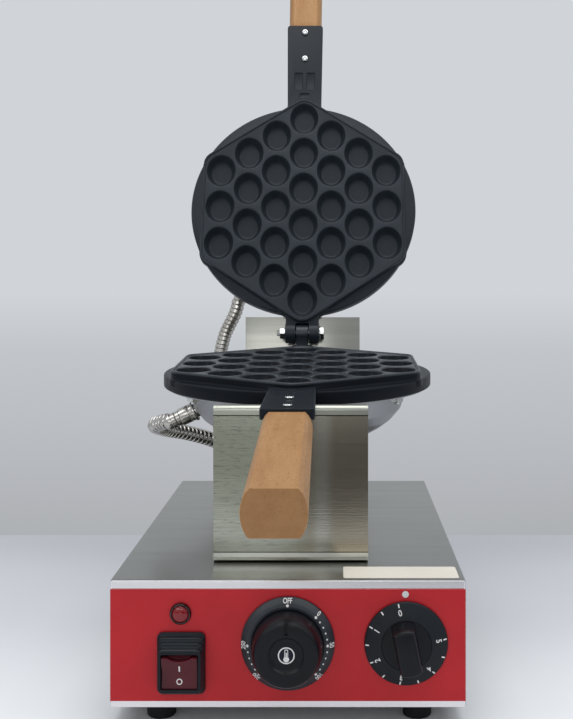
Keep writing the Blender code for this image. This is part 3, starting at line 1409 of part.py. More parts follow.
def build_rear_pivot():
    """Shaft from the lower mould's lug through the rear plate, with a collar and a nut."""
    axis = LOWER_MATRIX @ Matrix.Translation((0, 0, -PIVOT_DROP)) @ Matrix.Rotation(math.pi / 2, 4, "X")
    plate = (REAR_PLATE_FRONT - HINGE_Y) / math.cos(LOWER_DIP)
    lean = PIVOT_COLLAR_RADIUS * math.tan(LOWER_DIP)
    near = plate - PIVOT_DROP * math.tan(LOWER_DIP)
    front = near - lean - SEAT_GAP
    back = near + STAND_SHEET + lean + SEAT_GAP
    inner = KNUCKLE_RADIUS - PIVOT_SOCKET_DEPTH + SEAT_GAP
    end = back + PIVOT_NUT_HEIGHT + PIVOT_TAIL
    profile = (
        (0, end),
        (PIVOT_RADIUS, end),
        (PIVOT_RADIUS, front),
        (PIVOT_COLLAR_RADIUS, front),
        (PIVOT_COLLAR_RADIUS, KNUCKLE_RADIUS + SEAT_GAP),
        (PIVOT_RADIUS, KNUCKLE_RADIUS + SEAT_GAP),
        (PIVOT_RADIUS, inner),
        (0, inner),
    )
    shaft = add_object("pivot_shaft", turned_mesh("pivot_shaft", profile, ROUND_SIDES), "bright_steel")
    shaft.matrix_world = axis
    far = back + PIVOT_NUT_HEIGHT
    nut = rod_mesh("pivot_nut", PIVOT_NUT_RADIUS, (0, 0, back), (0, 0, far), HEX_SIDES)
    bore = rod_mesh(
        "nut_bore", PIVOT_RADIUS + SEAT_GAP,
        (0, 0, back - CUT_OVERRUN), (0, 0, far + CUT_OVERRUN), ROUND_SIDES,
    )
    add_object("pivot_nut", cut("pivot_nut", nut, [bore]), "bright_steel").matrix_world = axis


# Hoses. Route points are measured from the base's front face and the ground.
LOWER_HOSE_ROUTE = (
    (-0.1180, 0.2080, 0.1855),
    (-0.1290, 0.2240, 0.1800),
    (-0.1240, 0.2500, 0.1730),
    (-0.1060, 0.2680, 0.1670),
    (-0.0830, 0.2820, 0.1580),
    (-0.0560, 0.2915, 0.1440),
)
UPPER_HOSE_ROUTE = (
    (-0.0720, 0.3885, 0.2740),
    (-0.0830, 0.3870, 0.2500),
    (-0.0880, 0.3790, 0.2200),
    (-0.0860, 0.3600, 0.1880),
    (-0.0800, 0.3370, 0.1580),
)


def smooth_route(points):
    """A smooth curve through the points, as many short steps."""
    padded = [points[0] * 2 - points[1], *points, points[-1] * 2 - points[-2]]
    curve = []
    for index in range(1, len(padded) - 2):
        before, first, last, after = padded[index - 1:index + 3]
        for step in range(ROUTE_STEPS):
            share = step / ROUTE_STEPS
            square, cube = share * share, share ** 3
            curve.append(
                (first * 2 + (last - before) * share
                 + (before * 2 - first * 5 + last * 4 - after) * square
                 + (first * 3 - before - last * 3 + after) * cube) / 2
            )
    curve.append(points[-1])
    return curve


def even_points(curve, spacing):
    """Points along a curve at an even spacing close to the one asked for."""
    lengths = [0.0]
    for before, after in zip(curve, curve[1:]):
        lengths.append(lengths[-1] + (after - before).length)
    count = max(2, round(lengths[-1] / spacing))
    points = []
    index = 0
    for step in range(count + 1):
        target = lengths[-1] * step / count
        while index < len(lengths) - 2 and lengths[index + 1] < target:
            index += 1
        span = lengths[index + 1] - lengths[index]
        points.append(curve[index].lerp(curve[index + 1], (target - lengths[index]) / span))
    return points


def hose_curve(side):
    """The hose's centre line, from inside its collar to inside the base."""
    lip, matrix, turn, route = {
        "lower": (LOWER_LIP, LOWER_MATRIX, LOWER_COLLAR_TURN, LOWER_HOSE_ROUTE),
        "upper": (UPPER_LIP, UPPER_MATRIX, UPPER_COLLAR_TURN, UPPER_HOSE_ROUTE),
    }[side]
    collar = matrix @ collar_matrix(lip, turn)
    seat = COLLAR_LENGTH - HOSE_SINK + SEAT_GAP
    start = collar @ Vector((0, 0, seat))
    straight = collar @ Vector((0, 0, seat + HOSE_STRAIGHT))
    x, y = hose_places()[side]
    end = Vector((x, y, BASE_TOP - HOSE_SINK))
    above = Vector((x, y, BASE_TOP + HOSE_STRAIGHT))
    middle = [base_point(*point) for point in route]
    curve = smooth_route([straight, *middle, above])
    return [start, *curve, end]


def tube_mesh(name, points, radii):
    """A closed tube along points, as a curve with a bevel depth and filled caps."""
    curve = bpy.data.curves.new(name, "CURVE")
    curve.dimensions = "3D"
    curve.bevel_depth = HOSE_RADIUS
    curve.bevel_resolution = 2
    curve.use_fill_caps = True
    spline = curve.splines.new("POLY")
    spline.points.add(len(points) - 1)
    for target, point, radius in zip(spline.points, points, radii):
        target.co = (*point, 1)
        target.radius = radius / HOSE_RADIUS
    holder = bpy.data.objects.new(name, curve)
    CUTTERS.objects.link(holder)
    mesh = evaluated_mesh(holder, name)
    bpy.data.curves.remove(curve)
    shape = bmesh.new()
    shape.from_mesh(mesh)
    bmesh.ops.remove_doubles(shape, verts=shape.verts, dist=WELD_DISTANCE)
    return mesh_from(shape, name)


def build_hose(side):
    """Ribbed hose with its bore."""
    name = f"{side}_hose"
    curve = hose_curve(side)
    points = even_points(curve, RIB_PITCH / 2)
    radii = [HOSE_RADIUS if index % 2 else HOSE_VALLEY_RADIUS for index in range(len(points))]
    tube = tube_mesh(name, points, radii)
    first = (points[0] - points[1]).normalized() * CUT_OVERRUN
    last = (points[-1] - points[-2]).normalized() * CUT_OVERRUN
    bore_points = even_points(curve, HOSE_BORE_STEP)
    bore_points[0] = bore_points[0] + first
    bore_points[-1] = bore_points[-1] + last
    bore = tube_mesh("bore", bore_points, [HOSE_BORE_RADIUS] * len(bore_points))
    add_object(name, cut(name, tube, [bore]), "bright_steel")


def build_hose_glands():
    """Rings on the base top round the hoses."""
    bore = HOSE_RADIUS + RUN_GAP
    edge = (HOSE_GLAND_RADIUS - bore) / 3
    profile = (
        (bore, HOSE_GLAND_HEIGHT),
        (HOSE_GLAND_RADIUS - edge, HOSE_GLAND_HEIGHT),
        (HOSE_GLAND_RADIUS, HOSE_GLAND_HEIGHT - edge),
        (HOSE_GLAND_RADIUS, SEAT_GAP),
        (bore, SEAT_GAP),
    )
    for side, (x, y) in hose_places().items():
        name = f"{side}_hose_gland"
        gland = add_object(name, turned_mesh(name, profile, ROUND_SIDES), "bright_steel")
        gland.location = (x, y, BASE_TOP)


LOWER_FRAME = add_empty("lower_mould_frame", LOWER_MATRIX)
UPPER_FRAME = add_empty("hinge_axis", UPPER_MATRIX)


def build():
    """Make every piece."""
    build_base_shell()
    build_base_floor()
    build_front_panel()
    build_feet()
    build_rear_gland()
    build_terminal_block()
    build_lamp()
    build_switch_housing()
    build_rocker()
    build_dial_ring()
    build_thermostat_knob()
    build_timer_knob()
    build_stand()
    build_lower_mould()
    build_upper_mould()
    build_cover("lower", LOWER_LIP, LOWER_FRAME, LOWER_COLLAR_TURN)
    build_cover("upper", UPPER_LIP, UPPER_FRAME, UPPER_COLLAR_TURN)
    build_handle("lower", LOWER_LIP, LOWER_FRAME)
    build_handle("upper", UPPER_LIP, UPPER_FRAME)
    build_hinge_pin()
    build_rear_pivot()
    build_hose("lower")
    build_hose("upper")
    build_hose_glands()


build()
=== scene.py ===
# %% [markdown]
# # A bubble waffle maker, dressed round its frame
#
# The machine is a steel box with a red front, a stand of two steel plates, and two cast moulds on one
# hinge, each with a wood handle, a heater cover and a ribbed metal hose. The packed frame holds every
# rigid piece at its real place. This lesson reads the places from it, gives finishes to the pieces whose
# shape is already right, and makes finer ones for those that a close look needs.

# %% Load the frame
import json
import math

import bmesh
import bpy
from mathutils import Matrix, Vector


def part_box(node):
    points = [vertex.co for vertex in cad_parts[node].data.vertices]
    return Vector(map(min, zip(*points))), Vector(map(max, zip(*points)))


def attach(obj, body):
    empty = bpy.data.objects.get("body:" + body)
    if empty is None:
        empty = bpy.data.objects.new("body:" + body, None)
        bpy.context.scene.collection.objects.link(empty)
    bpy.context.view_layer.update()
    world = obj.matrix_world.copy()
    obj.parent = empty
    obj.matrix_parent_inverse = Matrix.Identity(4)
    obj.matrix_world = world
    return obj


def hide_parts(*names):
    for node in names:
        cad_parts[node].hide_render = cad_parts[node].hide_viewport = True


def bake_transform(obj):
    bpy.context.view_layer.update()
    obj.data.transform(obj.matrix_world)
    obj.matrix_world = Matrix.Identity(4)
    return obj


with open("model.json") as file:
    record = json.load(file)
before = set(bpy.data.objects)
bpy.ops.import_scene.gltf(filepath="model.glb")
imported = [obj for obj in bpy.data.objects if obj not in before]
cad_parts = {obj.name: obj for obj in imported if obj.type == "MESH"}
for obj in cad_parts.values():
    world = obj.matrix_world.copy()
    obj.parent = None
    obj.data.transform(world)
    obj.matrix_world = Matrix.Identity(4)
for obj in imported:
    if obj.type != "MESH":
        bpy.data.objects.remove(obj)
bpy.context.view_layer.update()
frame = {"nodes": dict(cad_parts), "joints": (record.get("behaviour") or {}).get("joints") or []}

nodes = frame["nodes"]

# %% [markdown]
# ## The camera
#
# The photograph was taken level, a little above the lower mould, with all upright edges upright. A view
# camera does that with a shift of its lens, so this one looks straight along +Y, its tilt at zero.

# %% Camera
camera_data = bpy.data.cameras.new("camera")
camera_data.sensor_width = 36
camera_data.lens = 56.33
camera_data.shift_x = -0.0688
camera_data.shift_y = -0.1259
camera = bpy.data.objects.new("camera", camera_data)
camera.location = (0.0337, -0.970343, 0.321)
camera.rotation_euler = (math.radians(90), 0, 0)
bpy.context.scene.collection.objects.link(camera)
bpy.context.scene.camera = camera
print("lens", camera_data.lens, "mm")

# %% [markdown]
# ## Sums on sockets
#
# A finish is mostly arithmetic: a mask here, a mix there. Adding a Math node by hand for each sum hides
# the thought, so a small class wraps a socket and lets Python's own operators add the nodes. Any other
# node comes from one function that takes the node's type, its settings and its inputs.

# %% Wires
RAMP_STOPS = "stops"


def find_socket(sockets, key):
    """The enabled socket with that name or number."""
    if isinstance(key, int):
        return sockets[key]
    wanted = key.replace("_", " ").lower()
    return next(s for s in sockets if s.enabled and s.name.lower() == wanted)


def make(tree, kind, settings=None, *values, out=None, **named):
    """Add a node: settings first, then the values or wires of its sockets."""
    node = tree.nodes.new(kind)
    for key, value in (settings or {}).items():
        if key == RAMP_STOPS:
            ramp = node.color_ramp
            while len(ramp.elements) < len(value):
                ramp.elements.new(1.0)
            for element, (position, colour) in zip(ramp.elements, value):
                element.position = position
                element.color = colour
        else:
            setattr(node, key, value)
    for key, value in [*enumerate(values), *named.items()]:
        socket = find_socket(node.inputs, key)
        if isinstance(value, Wire):
            tree.links.new(value.socket, socket)
        elif value is not None:
            socket.default_value = value
    if out is None:
        found = next(s for s in node.outputs if s.enabled)
    else:
        found = find_socket(node.outputs, out)
    return Wire(tree, found)


class Wire:
    """A socket that can stand in a sum."""

    def __init__(self, tree, socket):
        self.tree = tree
        self.socket = socket

    def math(self, operation, *values):
        """A math node in this wire's tree."""
        return make(self.tree, "ShaderNodeMath", {"operation": operation}, *values)

    def __add__(self, other):
        return self.math("ADD", self, other)

    def __radd__(self, other):
        return self.math("ADD", other, self)

    def __sub__(self, other):
        return self.math("SUBTRACT", self, other)

    def __rsub__(self, other):
        return self.math("SUBTRACT", other, self)

    def __mul__(self, other):
        return self.math("MULTIPLY", self, other)

    def __rmul__(self, other):
        return self.math("MULTIPLY", other, self)

    def __truediv__(self, other):
        return self.math("DIVIDE", self, other)

    def __rtruediv__(self, other):
        return self.math("DIVIDE", other, self)

    def __abs__(self):
        return self.math("ABSOLUTE", self)

    def smooth(self, low, high):
        """0 below low, 1 above high, and a soft step between."""
        settings = {"interpolation_type": "SMOOTHSTEP"}
        return make(self.tree, "ShaderNodeMapRange", settings, self, low, high, 0.0, 1.0)


print("operators ready:", [name for name in vars(Wire) if name.startswith("__")][1:])

# %% [markdown]
# ## Finishes
#
# Every finish is a Principled shader that reads Object coordinates in metres. A pattern's scale is then a
# real size: 400 waves a metre are 2.5 mm wide on every piece. The colours are written as they are seen on
# a screen and turned into linear light here.

# %% Finish helper
def seen(red, green, blue):
    """A screen colour of 0 to 255 as linear light."""
    shares = [channel / 255 for channel in (red, green, blue)]
    linear = [s / 12.92 if s <= 0.04045 else ((s + 0.055) / 1.055) ** 2.4 for s in shares]
    return (*linear, 1.0)


class Finish:
    """One material: a Principled shader, and short words for what feeds it."""

    def __init__(self, name, colour, roughness, metallic=0.0, **fixed):
        self.material = bpy.data.materials.new(name)
        self.material.use_nodes = True
        self.tree = self.material.node_tree
        self.shader = self.tree.nodes["Principled BSDF"]
        self.colour = seen(*colour)
        self.shader.inputs["Base Color"].default_value = self.colour
        self.shader.inputs["Roughness"].default_value = roughness
        self.shader.inputs["Metallic"].default_value = metallic
        for key, value in fixed.items():
            find_socket(self.shader.inputs, key).default_value = value

    def add(self, kind, settings=None, *values, out=None, **named):
        """A node in the finish's tree."""
        return make(self.tree, kind, settings, *values, out=out, **named)

    def place(self, scale=(1, 1, 1), turn=(0, 0, 0), shift=(0, 0, 0)):
        """Object coordinates, moved, turned and scaled."""
        spot = self.add("ShaderNodeTexCoord", None, out="object")
        moved = self.add("ShaderNodeMapping", {"vector_type": "POINT"}, spot, shift, turn)
        return self.add("ShaderNodeVectorMath", {"operation": "MULTIPLY"}, moved, scale)

    def noise(self, vector, size=1.0, detail=2.0, roughness=0.5):
        """Soft noise over a place."""
        sizes = {"scale": size, "detail": detail, "roughness": roughness}
        return self.add("ShaderNodeTexNoise", None, vector=vector, **sizes)

    def blend(self, factor, first, second):
        """Mix two colours."""
        settings = {"data_type": "RGBA"}
        return self.add("ShaderNodeMix", settings, factor=factor, a=first, b=second)

    def paint(self, factor, other):
        """The finish's own colour, mixed towards another by a factor."""
        self.colour = self.blend(factor, self.colour, seen(*other))
        self.feed("Base Color", self.colour)

    def feed(self, socket, wire):
        """Drive one of the shader's inputs."""
        self.tree.links.new(wire.socket, self.shader.inputs[socket])

    def bump(self, height, distance, strength=1.0):
        """Bump the surface by a height."""
        normal = self.add("ShaderNodeBump", None, strength=strength, distance=distance, height=height)
        self.feed("Normal", normal)


# %% [markdown]
# ### Metals
#
# Stainless sheet is brushed: fine scratches along one direction spread the light across them. Noise that
# is stretched a hundred times along the scratches gives the streaks, and it moves the roughness, the
# colour and a very low bump together. The direction differs from face to face, so the streaks are
# chosen by the face's normal on the folded base.

# %% Metals
FLAT_X = (9, 1400, 1400)
FLAT_Y = (1400, 9, 1400)
BROAD_X = (1.5, 90, 90)
BROADER = 14


def brushed(name, colour, roughness, dark, grain=FLAT_X, spread=0.12, depth=0.00004):
    """Brushed sheet: stretched noise in colour, roughness and bump."""
    finish = Finish(name, colour, roughness, 1.0)
    fine = finish.noise(finish.place(grain), detail=3, roughness=0.6)
    broad = finish.noise(finish.place([waves / BROADER for waves in grain]), detail=2)
    cloud = finish.noise(finish.place((9, 9, 9)), detail=2)
    streak = fine * 0.6 + broad * 0.4
    finish.paint(streak.smooth(0.35, 0.75) * 0.7 + cloud.smooth(0.4, 0.8) * 0.3, dark)
    finish.feed("Roughness", roughness + (streak - 0.5) * spread * 2)
    finish.bump(streak, depth, 0.5)
    return finish


def side_grain(name, colour, roughness, dark, painted_front_reflection):
    """Folded sheet: scratches along X on top and front, along Y on the sides, and a painted reflection that
    makes the front brighter.
    """
    finish = Finish(name, colour, roughness, 1.0)
    normal = finish.add("ShaderNodeNewGeometry", None, out="normal")
    across = finish.add("ShaderNodeSeparateXYZ", None, normal, out="x")
    facing = finish.add("ShaderNodeSeparateXYZ", None, normal, out="y")
    side = abs(across).smooth(0.6, 0.8)
    along_x = finish.noise(finish.place(FLAT_X), detail=3, roughness=0.6)
    along_y = finish.noise(finish.place(FLAT_Y), detail=3, roughness=0.6)
    broad = finish.noise(finish.place((1.2, 60, 60)), detail=2)
    fine = along_x * (1 - side) + along_y * side
    streak = fine * 0.7 + broad * 0.3
    cloud = finish.noise(finish.place((7, 7, 7)), detail=3)
    finish.paint(streak.smooth(0.35, 0.7) * 0.5 + cloud.smooth(0.45, 0.75) * 0.3, dark)
    # Painted reflection: the face towards -Y is painted near white, as bare steel there mirrors the pale
    # floor.
    finish.paint((0 - facing).smooth(0.6, 0.8), painted_front_reflection)
    finish.feed("Roughness", roughness + (streak - 0.5) * 0.14 + cloud * 0.05)
    finish.bump(streak, 0.00004, 0.5)
    return finish


def bright(name, colour, roughness, dark, wear_size=260, depth=0.000005):
    """Plated or polished metal with light wear."""
    finish = Finish(name, colour, roughness, 1.0)
    wear = finish.noise(finish.place((wear_size, wear_size, wear_size)), detail=3, roughness=0.6)
    finish.paint(wear.smooth(0.45, 0.8), dark)
    finish.feed("Roughness", roughness + (wear - 0.5) * 0.12)
    finish.bump(wear, depth, 0.3)
    return finish


FILM_TOP = 0.2122
FILM_LOW = 0.1102
FILM_GRAIN = (4, 1400, 1400)
FILM_CLOUD = (0.7, 60, 60)
FILM_WRINKLE = (110, 1, 760)


def film_sheet(name):
    """Brushed sheet under a clear film with a cut edge above and below; a painted reflection makes it warmer
    on the right, with a painted bright streak, and the bare bend below the film carries a painted highlight.
    """
    finish = Finish(name, (182, 184, 172), 0.20, 1.0)
    spot = finish.place()
    across = finish.add("ShaderNodeSeparateXYZ", None, spot, out="x")
    height = finish.add("ShaderNodeSeparateXYZ", None, spot, out="z")
    fine = finish.noise(finish.place(FILM_GRAIN), detail=3, roughness=0.6)
    broad = finish.noise(finish.place(FILM_CLOUD), detail=2)
    wrinkle = finish.noise(finish.place(FILM_WRINKLE), detail=4, roughness=0.7)
    left = 1 - across.smooth(-0.02, 0.02)
    right = across.smooth(-0.004, 0.022)
    gleam = across.smooth(0.014, 0.022) * (1 - across.smooth(0.024, 0.034))
    finish.paint(broad.smooth(0.3, 0.7) * 0.35, (160, 162, 150))
    finish.paint(fine.smooth(0.42, 0.62) * 0.45, (150, 152, 142))
    finish.paint(wrinkle.smooth(0.55, 0.63) * left * 0.8, (132, 136, 128))
    # Painted reflection: warmer on the right, where the steel mirrors the dark room.
    finish.paint(right, (172, 166, 150))
    # Painted highlight: a bright reflected streak near the middle.
    finish.paint(gleam * 0.7, (206, 206, 196))
    above = height.smooth(FILM_TOP - 0.0002, FILM_TOP + 0.0004)
    bare_bend_highlight = 1 - height.smooth(FILM_LOW - 0.0004, FILM_LOW + 0.0002)
    finish.paint(above, (176, 178, 167))
    # Below the film the steel is bare, and it is painted near white as a painted highlight along the foot
    # bend.
    finish.paint(bare_bend_highlight, (236, 237, 228))
    middle = abs(height - (FILM_TOP + FILM_LOW) / 2)
    half = (FILM_TOP - FILM_LOW) / 2
    outside = middle.smooth(half, half + 0.0004)
    edge = middle.smooth(half - 0.0007, half - 0.0003) * (1 - outside)
    finish.paint(edge, (44, 44, 38))
    finish.feed("Roughness", 0.18 + fine * 0.10 + outside * 0.10)
    finish.bump(fine * 0.7 + wrinkle, 0.00006, 0.5)
    return finish


# The last colour is the painted reflection on the base's front face.
sheet_steel = side_grain("base_steel", (134, 134, 130), 0.22, (118, 118, 114), (226, 225, 228))
plate_steel = brushed("plate_steel", (154, 154, 147), 0.24, (126, 126, 118), BROAD_X)
film_steel = film_sheet("film_steel")
screw_steel = bright("screw_steel", (196, 198, 198), 0.18, (160, 162, 163))
hose_steel = bright("hose_steel", (188, 185, 180), 0.23, (174, 170, 164), 30, 0.000001)
cover_sheet = bright("cover_sheet", (150, 151, 153), 0.33, (142, 143, 145), 20, 0.000001)
heater_steel = bright("heater_steel", (140, 130, 120), 0.45, (96, 84, 74))
brass = bright("brass", (186, 156, 98), 0.32, (150, 120, 70))
print("metals:", [f.material.name for f in (sheet_steel, plate_steel, screw_steel, hose_steel, cover_sheet)])

# %% [markdown]
# ### Coating, plastic, wood and the rest
#
# The moulds carry a grey-black non-stick coating over sand-cast metal: satin, with a fine grain in the
# light. The plastics are darker and smoother. The handles are steamed beech, whose short darker flecks
# lie along the grain, so each handle turns the same pattern to its own direction.

# %% Coating, plastics and paint
def grained(name, colour, other, roughness, grain_size, depth, metallic=0.0, **fixed):
    """A moulded or coated surface: a little colour change, and a fine even grain."""
    finish = Finish(name, colour, roughness, metallic, **fixed)
    cloud = finish.noise(finish.place((22, 22, 22)), detail=3)
    grain = finish.noise(finish.place((1, 1, 1)), 1 / grain_size, detail=2)
    finish.paint(cloud.smooth(0.35, 0.7), other)
    finish.feed("Roughness", roughness + (cloud - 0.5) * 0.14 + (grain - 0.5) * 0.10)
    finish.bump(grain, depth, 0.6)
    return finish


SATIN = {"specular_ior_level": 0.38}
SOFT = {"specular_ior_level": 0.30}
DULL = {"specular_ior_level": 0.20}
COAT = (37, 44, 51)
COAT_CLOUD = (30, 37, 44)
COAT_GRAIN = 0.0007
COAT_DEPTH = 0.00005
nonstick_coat = grained("nonstick_coat", COAT, COAT_CLOUD, 0.42, COAT_GRAIN, COAT_DEPTH, **SOFT)
hood_plastic = grained("hood_plastic", (20, 26, 32), (16, 21, 26), 0.34, 0.0004, 0.00002, **DULL)
dial_plastic = grained("dial_plastic", (38, 43, 49), (32, 37, 42), 0.44, 0.0004, 0.00002, **SATIN)
knob_plastic = grained("knob_plastic", (17, 19, 25), (14, 16, 20), 0.33, 0.0005, 0.00001, **DULL)
skirt_plastic = grained("skirt_plastic", (25, 29, 35), (21, 25, 30), 0.46, 0.0004, 0.00002, **DULL)
rubber = grained("rubber", (26, 27, 30), (20, 21, 24), 0.70, 0.0006, 0.00004, **DULL)
red_film = grained("red_film", (188, 29, 37), (178, 27, 35), 0.36, 0.0012, 0.000008, **SOFT)
rocker_red = grained("rocker_red", (84, 20, 30), (70, 16, 25), 0.20, 0.0020, 0.000004, **SOFT)
white_ink = grained("white_ink", (226, 226, 224), (210, 210, 210), 0.55, 0.0010, 0.00001)
label_paper = grained("label_paper", (238, 231, 218), (232, 225, 212), 0.45, 0.0020, 0.00001)
ceramic_white = grained("ceramic_white", (214, 209, 198), (198, 192, 180), 0.55, 0.0010, 0.00002)
badge_blue = grained("badge_blue", (18, 20, 38), (14, 16, 30), 0.30, 0.0010, 0.00001, **DULL)
lamp_red = grained("lamp_red", (128, 14, 24), (104, 10, 18), 0.12, 0.0030, 0.00001)
gloss_black = grained("gloss_black", (26, 8, 10), (20, 6, 8), 0.14, 0.0020, 0.000004)
print("coats:", nonstick_coat.material.name, red_film.material.name)

# %% Wood
def beech(name, turn, shift):
    """Beech with its grain along the finish's own Y axis, and end faces painted darker: partly the end
    grain's own tone, partly painted shade.
    """
    finish = Finish(name, (177, 134, 88), 0.5, specular_ior_level=0.3)
    spot = finish.place((1, 1, 1), turn, shift)

    def along_grain(waves, detail, roughness=0.5):
        """Noise with its own count of waves a metre on each axis."""
        flow = finish.add("ShaderNodeVectorMath", {"operation": "MULTIPLY"}, spot, waves)
        return finish.noise(flow, 1.0, detail, roughness)

    board = along_grain((120, 7, 120), 4, 0.6)
    fleck = along_grain((1900, 60, 1900), 2)
    ray = along_grain((800, 160, 800), 1)
    finish.paint(board.smooth(0.3, 0.75) * 0.55, (152, 107, 66))
    finish.paint(fleck.smooth(0.52, 0.72) * 0.45, (134, 91, 54))
    finish.paint(ray.smooth(0.62, 0.74) * 0.5, (127, 82, 47))
    # Painted shade: end faces are darker, partly the end grain's own tone, partly because the light falls
    # from above.
    facing = finish.add("ShaderNodeTexCoord", None, out="normal")
    facing = finish.add("ShaderNodeMapping", {"vector_type": "VECTOR"}, facing, None, turn)
    end = abs(finish.add("ShaderNodeSeparateXYZ", None, facing, out="y")).smooth(0.85, 0.97)
    finish.paint(end * 0.4, (134, 94, 58))
    finish.feed("Roughness", 0.44 + board * 0.12 + fleck * 0.08)
    finish.bump(fleck + board * 0.5, 0.00012, 0.4)
    return finish

# %% [markdown]
# ## Where things are
#
# The frame gives every place. The moulds are easiest to make flat, with X across, Y along the handle and
# Z out of the cups, and then to be laid on the hinge line: the lower one dips a little to the front, and
# the upper one leans back on the rear plate.

# %% Places
base_low, base_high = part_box("base_shell")
panel_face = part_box("front_panel")[0].y
hinge = Vector(next(j["pos_m"] for j in frame["joints"] if j["name"] == "upper_mould_hinge"))
BASE_FRONT = base_low.y
BASE_TOP = base_high.z
OPEN_LEAN = math.radians(20.05)
LOWER_DIP = math.radians(2.8)
GAP = 0.0003


def mould_frame(along, out):
    """Local X, Y and Z of a mould as world directions at the hinge line."""
    turn = Matrix((along.cross(out), along, out)).transposed().to_4x4()
    return Matrix.Translation(hinge) @ turn


LOWER = mould_frame(
    Vector((0, -math.cos(LOWER_DIP), -math.sin(LOWER_DIP))),
    Vector((0, -math.sin(LOWER_DIP), math.cos(LOWER_DIP))),
)
UPPER = mould_frame(
    Vector((0, math.sin(OPEN_LEAN), math.cos(OPEN_LEAN))),
    Vector((0, -math.cos(OPEN_LEAN), math.sin(OPEN_LEAN))),
)
SIDES = {
    "lower": {"frame": LOWER, "lip": -0.01125, "body": "base"},
    "upper": {"frame": UPPER, "lip": 0.01035, "body": "upper_mould"},
}


def on_panel(x, z, depth=0.0):
    """A frame on the red front: Z points out of it."""
    return Matrix.Translation((x, panel_face - depth, z)) @ Matrix.Rotation(math.pi / 2, 4, "X")


print("hinge line at", tuple(hinge), "panel at", panel_face)

# %% [markdown]
# ## Mesh helpers
#
# Most of the small pieces are turned, so one helper spins a profile whose corners are first rounded: a
# real edge always has a small radius, and that radius is what catches the light. Another helper runs
# modifiers and keeps only the plain mesh, and the last one puts a finished piece on its body.

# %% Mesh helpers
TINY = 1e-7
DOUBLES = 0.000002
EDGE_SHARE = 0.45
NEARLY_STRAIGHT = math.radians(87)


def as_mesh(shape, name):
    """A bmesh as a mesh; the bmesh goes."""
    mesh = bpy.data.meshes.new(name)
    shape.to_mesh(mesh)
    shape.free()
    return mesh


def closed_mesh(shape, name):
    """A bmesh as a mesh, doubles merged and faces pointing out."""
    bmesh.ops.remove_doubles(shape, verts=shape.verts, dist=DOUBLES)
    bmesh.ops.recalc_face_normals(shape, faces=shape.faces)
    return as_mesh(shape, name)


def skin_rings(shape, rings):
    """Faces between closed rings with equal point counts."""
    for before, after in zip(rings, rings[1:]):
        for index in range(len(before)):
            follow = (index + 1) % len(before)
            shape.faces.new((before[index], before[follow], after[follow], after[index]))


def soften(points, radius, steps=3, open_ended=False):
    """Round the corners of a flat outline, none further than its edges allow."""
    rounded = []
    count = len(points)
    for index, point in enumerate(points):
        corner = Vector(point)
        back = Vector(points[index - 1]) - corner
        ahead = Vector(points[(index + 1) % count]) - corner
        on_end = open_ended and (abs(corner.x) < TINY or index in (0, count - 1))
        if on_end or min(back.length, ahead.length) < TINY:
            rounded.append(tuple(corner))
            continue
        half = back.angle(ahead) / 2
        if half > NEARLY_STRAIGHT:
            rounded.append(tuple(corner))
            continue
        reach = min(radius / math.tan(half), back.length * EDGE_SHARE, ahead.length * EDGE_SHARE)
        first = corner + back.normalized() * reach
        last = corner + ahead.normalized() * reach
        for step in range(steps + 1):
            share = step / steps
            middle = first.lerp(corner, share).lerp(corner.lerp(last, share), share)
            rounded.append(tuple(middle))
    return rounded


def turned(name, profile, sides=64, radius=0.0004):
    """A profile of (radius, height) points, corners rounded, spun round Z."""
    open_ended = profile[0][0] < TINY
    outline = soften(profile, radius, open_ended=open_ended)
    shape = bmesh.new()
    rings = []
    for reach, height in outline:
        if reach < TINY:
            rings.append([shape.verts.new((0, 0, height))] * sides)
            continue
        turns = [2 * math.pi * side / sides for side in range(sides)]
        rings.append([shape.verts.new((reach * math.cos(a), reach * math.sin(a), height)) for a in turns])
    pairs = list(zip(rings, rings[1:]))
    if not open_ended:
        pairs.append((rings[-1], rings[0]))
    for before, after in pairs:
        for side in range(sides):
            follow = (side + 1) % sides
            corners = (before[side], before[follow], after[follow], after[side])
            face = list(dict.fromkeys(corners))
            if len(face) > 2:
                shape.faces.new(face)
    return closed_mesh(shape, name)


def rod(name, radius, low, high, sides=64, edge=0.0004):
    """A round bar or disc on Z between two heights."""
    return turned(name, ((0, low), (radius, low), (radius, high), (0, high)), sides, edge)


def loft(name, sections):
    """A capped skin over closed sections with equal point counts."""
    shape = bmesh.new()
    rings = [[shape.verts.new(point) for point in section] for section in sections]
    skin_rings(shape, rings)
    shape.faces.new(rings[0])
    shape.faces.new(rings[-1])
    return closed_mesh(shape, name)


def slab(name, outline, low, high):
    """A flat outline raised from one height to another."""
    return loft(name, [[(x, y, low) for x, y in outline], [(x, y, high) for x, y in outline]])


def block(name, low, high):
    """A plain box, to be cut or rounded."""
    (x0, y0, z0), (x1, y1, z1) = low, high
    return slab(name, [(x0, y0), (x1, y0), (x1, y1), (x0, y1)], z0, z1)


def settle(holder, name):
    """What an object's modifiers make, as a plain mesh; the object goes."""
    bpy.context.view_layer.update()
    graph = bpy.context.evaluated_depsgraph_get()
    mesh = bpy.data.meshes.new_from_object(holder.evaluated_get(graph))
    mesh.name = name
    bpy.data.objects.remove(holder)
    return mesh


def holder_of(mesh, name="holder"):
    """A linked object for a mesh."""
    holder = bpy.data.objects.new(name, mesh)
    bpy.context.scene.collection.objects.link(holder)
    return holder


def solid(base, others, operation):
    """A Boolean of a closed mesh with others, one after another."""
    for other in others:
        holder = holder_of(base)
        tool = holder_of(other, "tool")
        boolean = holder.modifiers.new("solid", "BOOLEAN")
        boolean.operation = operation
        boolean.object = tool
        boolean.solver = "MANIFOLD"
        base = settle(holder, base.name)
        bpy.data.objects.remove(tool)
    return base


